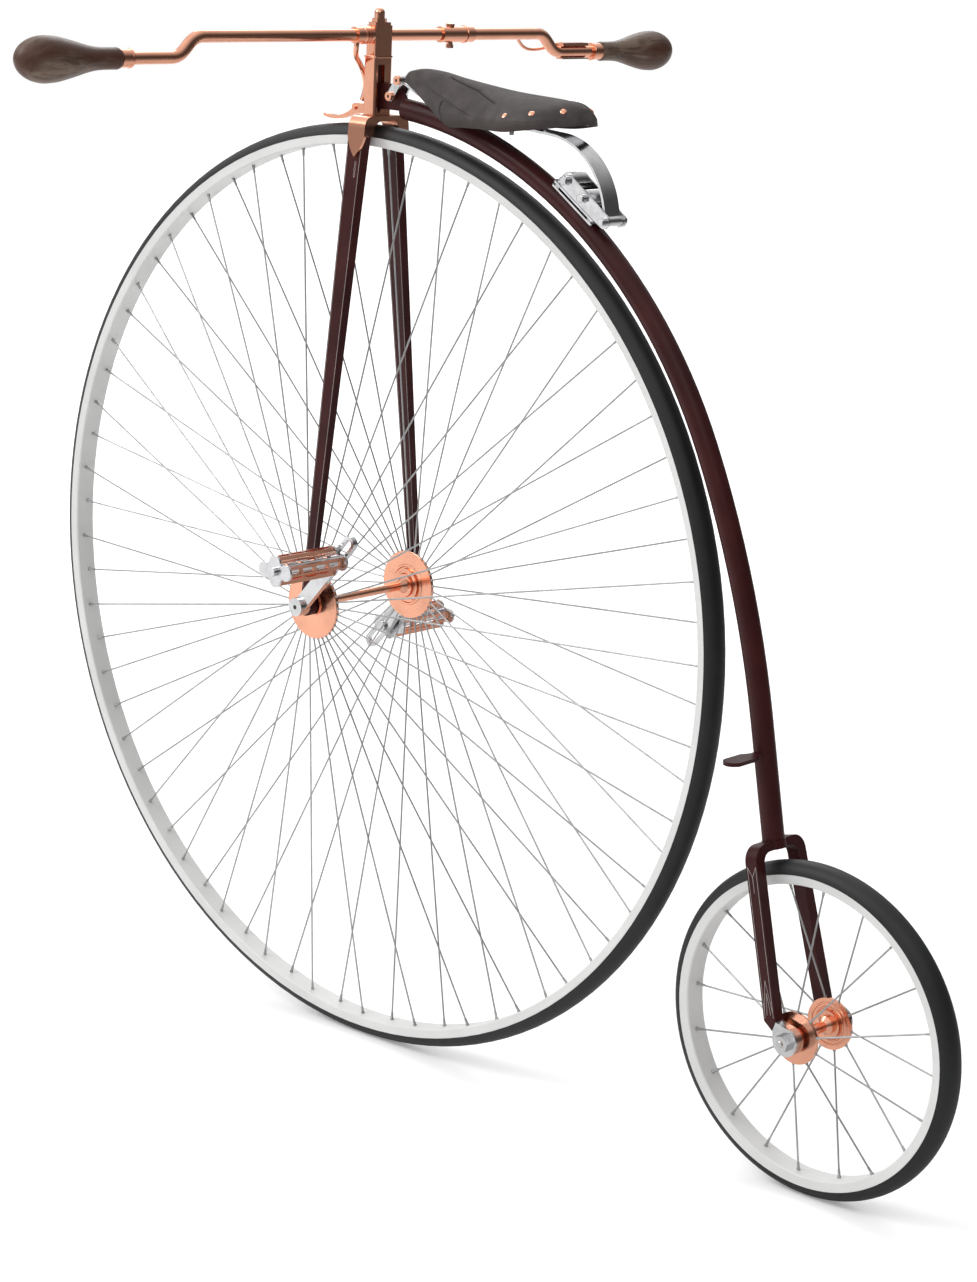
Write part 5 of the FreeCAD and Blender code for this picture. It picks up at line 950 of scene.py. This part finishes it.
class BICYCLE_OT_hub_trim(bpy.types.Operator):
    """Make the hubs' turned flange rings and discs of painted shade in the cranks' bosses"""
    bl_idname = "bicycle.hub_trim"
    bl_label = "Hub trim"

    def execute(self, context):
        front = self.rings(FRONT_HUB_RINGS) + pair(FLANGE_RIM, (0, FRONT_FLANGE, 0), 96)
        piece("front_hub_rings", joined(front), on_front_axle, "copper", "front_wheel")
        piece("rear_hub_rings", joined(self.rings(REAR_HUB_RINGS)), on_rear_axle, "copper",
              "rear_wheel")
        # Painted shade: a thin dark disc at each crank's end stands for the recess in its boss.
        piece("crank_centre_shade", joined(pair(CRANK_CENTRE_SHADE, (0, CRANK_END, 0), 16)), on_front_axle,
              None, "front_wheel", material=once(painted_recess_shade))
        return {"FINISHED"}

    def rings(self, table):
        """Raised rings on the inner faces of both flanges of a hub."""
        shapes = []
        for face, radius, foot, crest, high in table:
            ring = ((0.0, radius + foot), (-high, radius + crest),
                    (-high, radius - crest), (0.0, radius - foot))
            shapes += pair(ring, (0, face, 0), 48)
        return shapes


class BICYCLE_OT_shackle_trim(bpy.types.Operator):
    """Make the hexagon heads on the shackle's bolts and the rear axle's end"""
    bl_idname = "bicycle.shackle_trim"
    bl_label = "Shackle and axle trim"

    def execute(self, context):
        heads = []
        for along, up, flats in SHACKLE_BOLTS:
            heads += pair(hexagon(flats, SHACKLE_HEAD_HEIGHT), (along, SHACKLE_HEAD_START, up), 6)
        piece("shackle_heads", joined(heads), on_shackle, "chromed_steel", "frame", smooth=False)
        piece("rear_axle_ends", joined(pair(AXLE_STUB, (0, REAR_AXLE_END, 0), 20)), on_rear_fork,
              "chromed_steel", "frame")
        return {"FINISHED"}


class BICYCLE_OT_stage(bpy.types.Operator):
    """Make the pale floor, the lamps, the white surroundings and the camera"""
    bl_idname = "bicycle.stage"
    bl_label = "Studio and camera"

    def execute(self, context):
        settings = context.scene.bicycle_stage
        self.make_floor(settings)
        self.make_lamps()
        self.make_world(context.scene)
        self.make_camera(context.scene, settings)
        context.scene.view_settings.view_transform = "Standard"
        return {"FINISHED"}

    def make_floor(self, settings):
        """Square floor under the wheels that keeps the soft shadow: the camera sees it near white,
        the bright metal sees painted reflections: dark behind the bicycle, glowing far in front."""
        half = settings.floor_width / 2
        mesh = bpy.data.meshes.new("floor")
        corners = [(ahead * half, side * half, GROUND)
                   for ahead, side in ((-1, -1), (1, -1), (1, 1), (-1, 1))]
        mesh.from_pydata(corners, [], [(0, 1, 2, 3)])
        floor = bpy.data.objects.new("floor", mesh)
        bpy.context.collection.objects.link(floor)
        finish = Finish("floor_paper")
        seen = finish.node("ShaderNodeLightPath", out="Is Camera Ray")
        mirrored = finish.node("ShaderNodeLightPath", out="Is Glossy Ray")
        ahead = finish.axis(finish.place(), "X")
        away = finish.node("ShaderNodeVectorMath", {"operation": "LENGTH"}, {0: finish.place()},
                           out="Value")
        paper = finish.blend(finish.noise(3.0, 2.0), grey(0.90), grey(0.92))
        # Painted reflection: to glossy rays only, the floor turns dark behind the bicycle and glows
        # far in front.
        reflection_dark = finish.blend(away.rise(2.0, 6.0), grey(0.50), grey(0.12))
        tint = finish.blend(mirrored * (1 - ahead.rise(-3.0, 1.5)), paper, reflection_dark)
        reflection_glow = finish.blend(away.rise(2.6, 7.0), grey(0.0), grey(0.55))
        in_front = finish.blend(mirrored * ahead.rise(-0.5, 2.5), grey(0.0), reflection_glow)
        glow = finish.blend(away.rise(1.8, 5.0), grey(0.22), grey(0.60))
        mesh.materials.append(finish.surface(
            base_color=tint, roughness=0.9, emission_color=finish.blend(seen, in_front, glow),
            emission_strength=1.0))

    def make_lamps(self):
        """Large soft lamps over and beside the bicycle."""
        lamps = (
            # name, place, aim, side in metres, power in watts
            ("key_lamp", (2.4, 3.2, 3.2), (0.0, 0.0, -0.5), 2.6, 105.0),
            ("fill_lamp", (-3.0, 2.6, 2.4), (0.0, 0.0, -0.6), 2.4, 22.0),
            ("back_lamp", (2.8, -2.6, 2.6), (0.0, 0.0, -0.5), 2.2, 40.0),
        )
        for name, place, aim, side, power in lamps:
            data = bpy.data.lights.new(name, "AREA")
            data.shape = "SQUARE"
            data.size = side
            data.energy = power
            lamp = bpy.data.objects.new(name, data)
            lamp.location = place
            lamp.rotation_euler = (Vector(aim) - Vector(place)).to_track_quat("-Z", "Y").to_euler()
            bpy.context.collection.objects.link(lamp)

    def make_world(self, scene):
        """White for the camera; for everything else light that comes mostly from the front and
        from low and high, so that bright metal shows light and dark sides."""
        studio = Finish("studio", "worlds")
        way = studio.node("ShaderNodeTexCoord", out="Generated")
        facing = studio.node("ShaderNodeVectorMath", {"operation": "DOT_PRODUCT"},
                             {0: way, 1: (0.75, 0.25, 0.61)}, out="Value")
        seen = studio.node("ShaderNodeLightPath", out="Is Camera Ray")
        height = studio.axis(way, "Z")
        low = 1 - height.rise(-0.01, 0.06)
        strength = (facing.rise(-0.45, 0.65) * (height.rise(0.06, 0.38) * 0.80 + low * 0.75 + 0.25)
                    + height.rise(0.20, 0.65) * 0.20 + 0.09)
        lit = studio.node("ShaderNodeBackground", None, {"Strength": strength})
        plain = studio.node("ShaderNodeBackground", None, {"Strength": 1.0, "Color": grey(1.0)})
        mix = studio.node("ShaderNodeMixShader", None, {0: seen, 1: lit, 2: plain})
        studio.add("ShaderNodeOutputWorld", None, {"Surface": mix})
        scene.world = studio.material

    def make_camera(self, scene, settings):
        """Long lens behind and to the left of the rider, looking down at the wheels."""
        data = bpy.data.cameras.new("camera")
        data.lens = settings.camera_lens
        data.sensor_width = 36.0
        data.sensor_fit = "AUTO"
        data.clip_start, data.clip_end = 0.05, 60.0
        camera = bpy.data.objects.new("camera", data)
        azimuth, elevation = settings.camera_azimuth, settings.camera_elevation
        ahead = Vector((math.cos(elevation) * math.cos(azimuth),
                        math.cos(elevation) * math.sin(azimuth), math.sin(elevation)))
        aim = ahead.to_track_quat("-Z", "Y").to_matrix().to_4x4()
        roll = Matrix.Rotation(settings.camera_roll, 4, "Z")
        camera.matrix_world = Matrix.Translation(settings.camera_place) @ aim @ roll
        bpy.context.collection.objects.link(camera)
        scene.camera = camera


OPERATORS = (
    BICYCLE_OT_stage,
    BICYCLE_OT_dress_bodies,
    BICYCLE_OT_saddle,
    BICYCLE_OT_lines,
    BICYCLE_OT_spoke_ends,
    BICYCLE_OT_head_trim,
    BICYCLE_OT_bar_trim,
    BICYCLE_OT_grips,
    BICYCLE_OT_hub_trim,
    BICYCLE_OT_shackle_trim,
)
SETTINGS = {
    "bicycle_finishes": FinishSettings,
    "bicycle_trim": TrimSettings,
    "bicycle_stage": StageSettings,
}


class BICYCLE_PT_panel(bpy.types.Panel):
    """Lists the steps that dress the bicycle"""
    bl_idname = "BICYCLE_PT_panel"
    bl_label = "Penny farthing"
    bl_space_type = "VIEW_3D"
    bl_region_type = "UI"
    bl_category = "Penny farthing"

    def draw(self, context):
        for operator in OPERATORS:
            self.layout.operator(operator.bl_idname)


def register():
    """Register the settings, the operators and the panel."""
    for name, group in SETTINGS.items():
        bpy.utils.register_class(group)
        setattr(bpy.types.Scene, name, bpy.props.PointerProperty(type=group))
    for cls in (*OPERATORS, BICYCLE_PT_panel):
        bpy.utils.register_class(cls)


def unregister():
    """Take the panel, the operators and the settings away again."""
    for cls in (BICYCLE_PT_panel, *reversed(OPERATORS)):
        bpy.utils.unregister_class(cls)
    for name, group in reversed(SETTINGS.items()):
        delattr(bpy.types.Scene, name)
        bpy.utils.unregister_class(group)


def main():
    """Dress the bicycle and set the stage."""
    register()
    for operator in OPERATORS:
        family, name = operator.bl_idname.split(".")
        getattr(getattr(bpy.ops, family), name)()


if __name__ == "__main__":
    main()
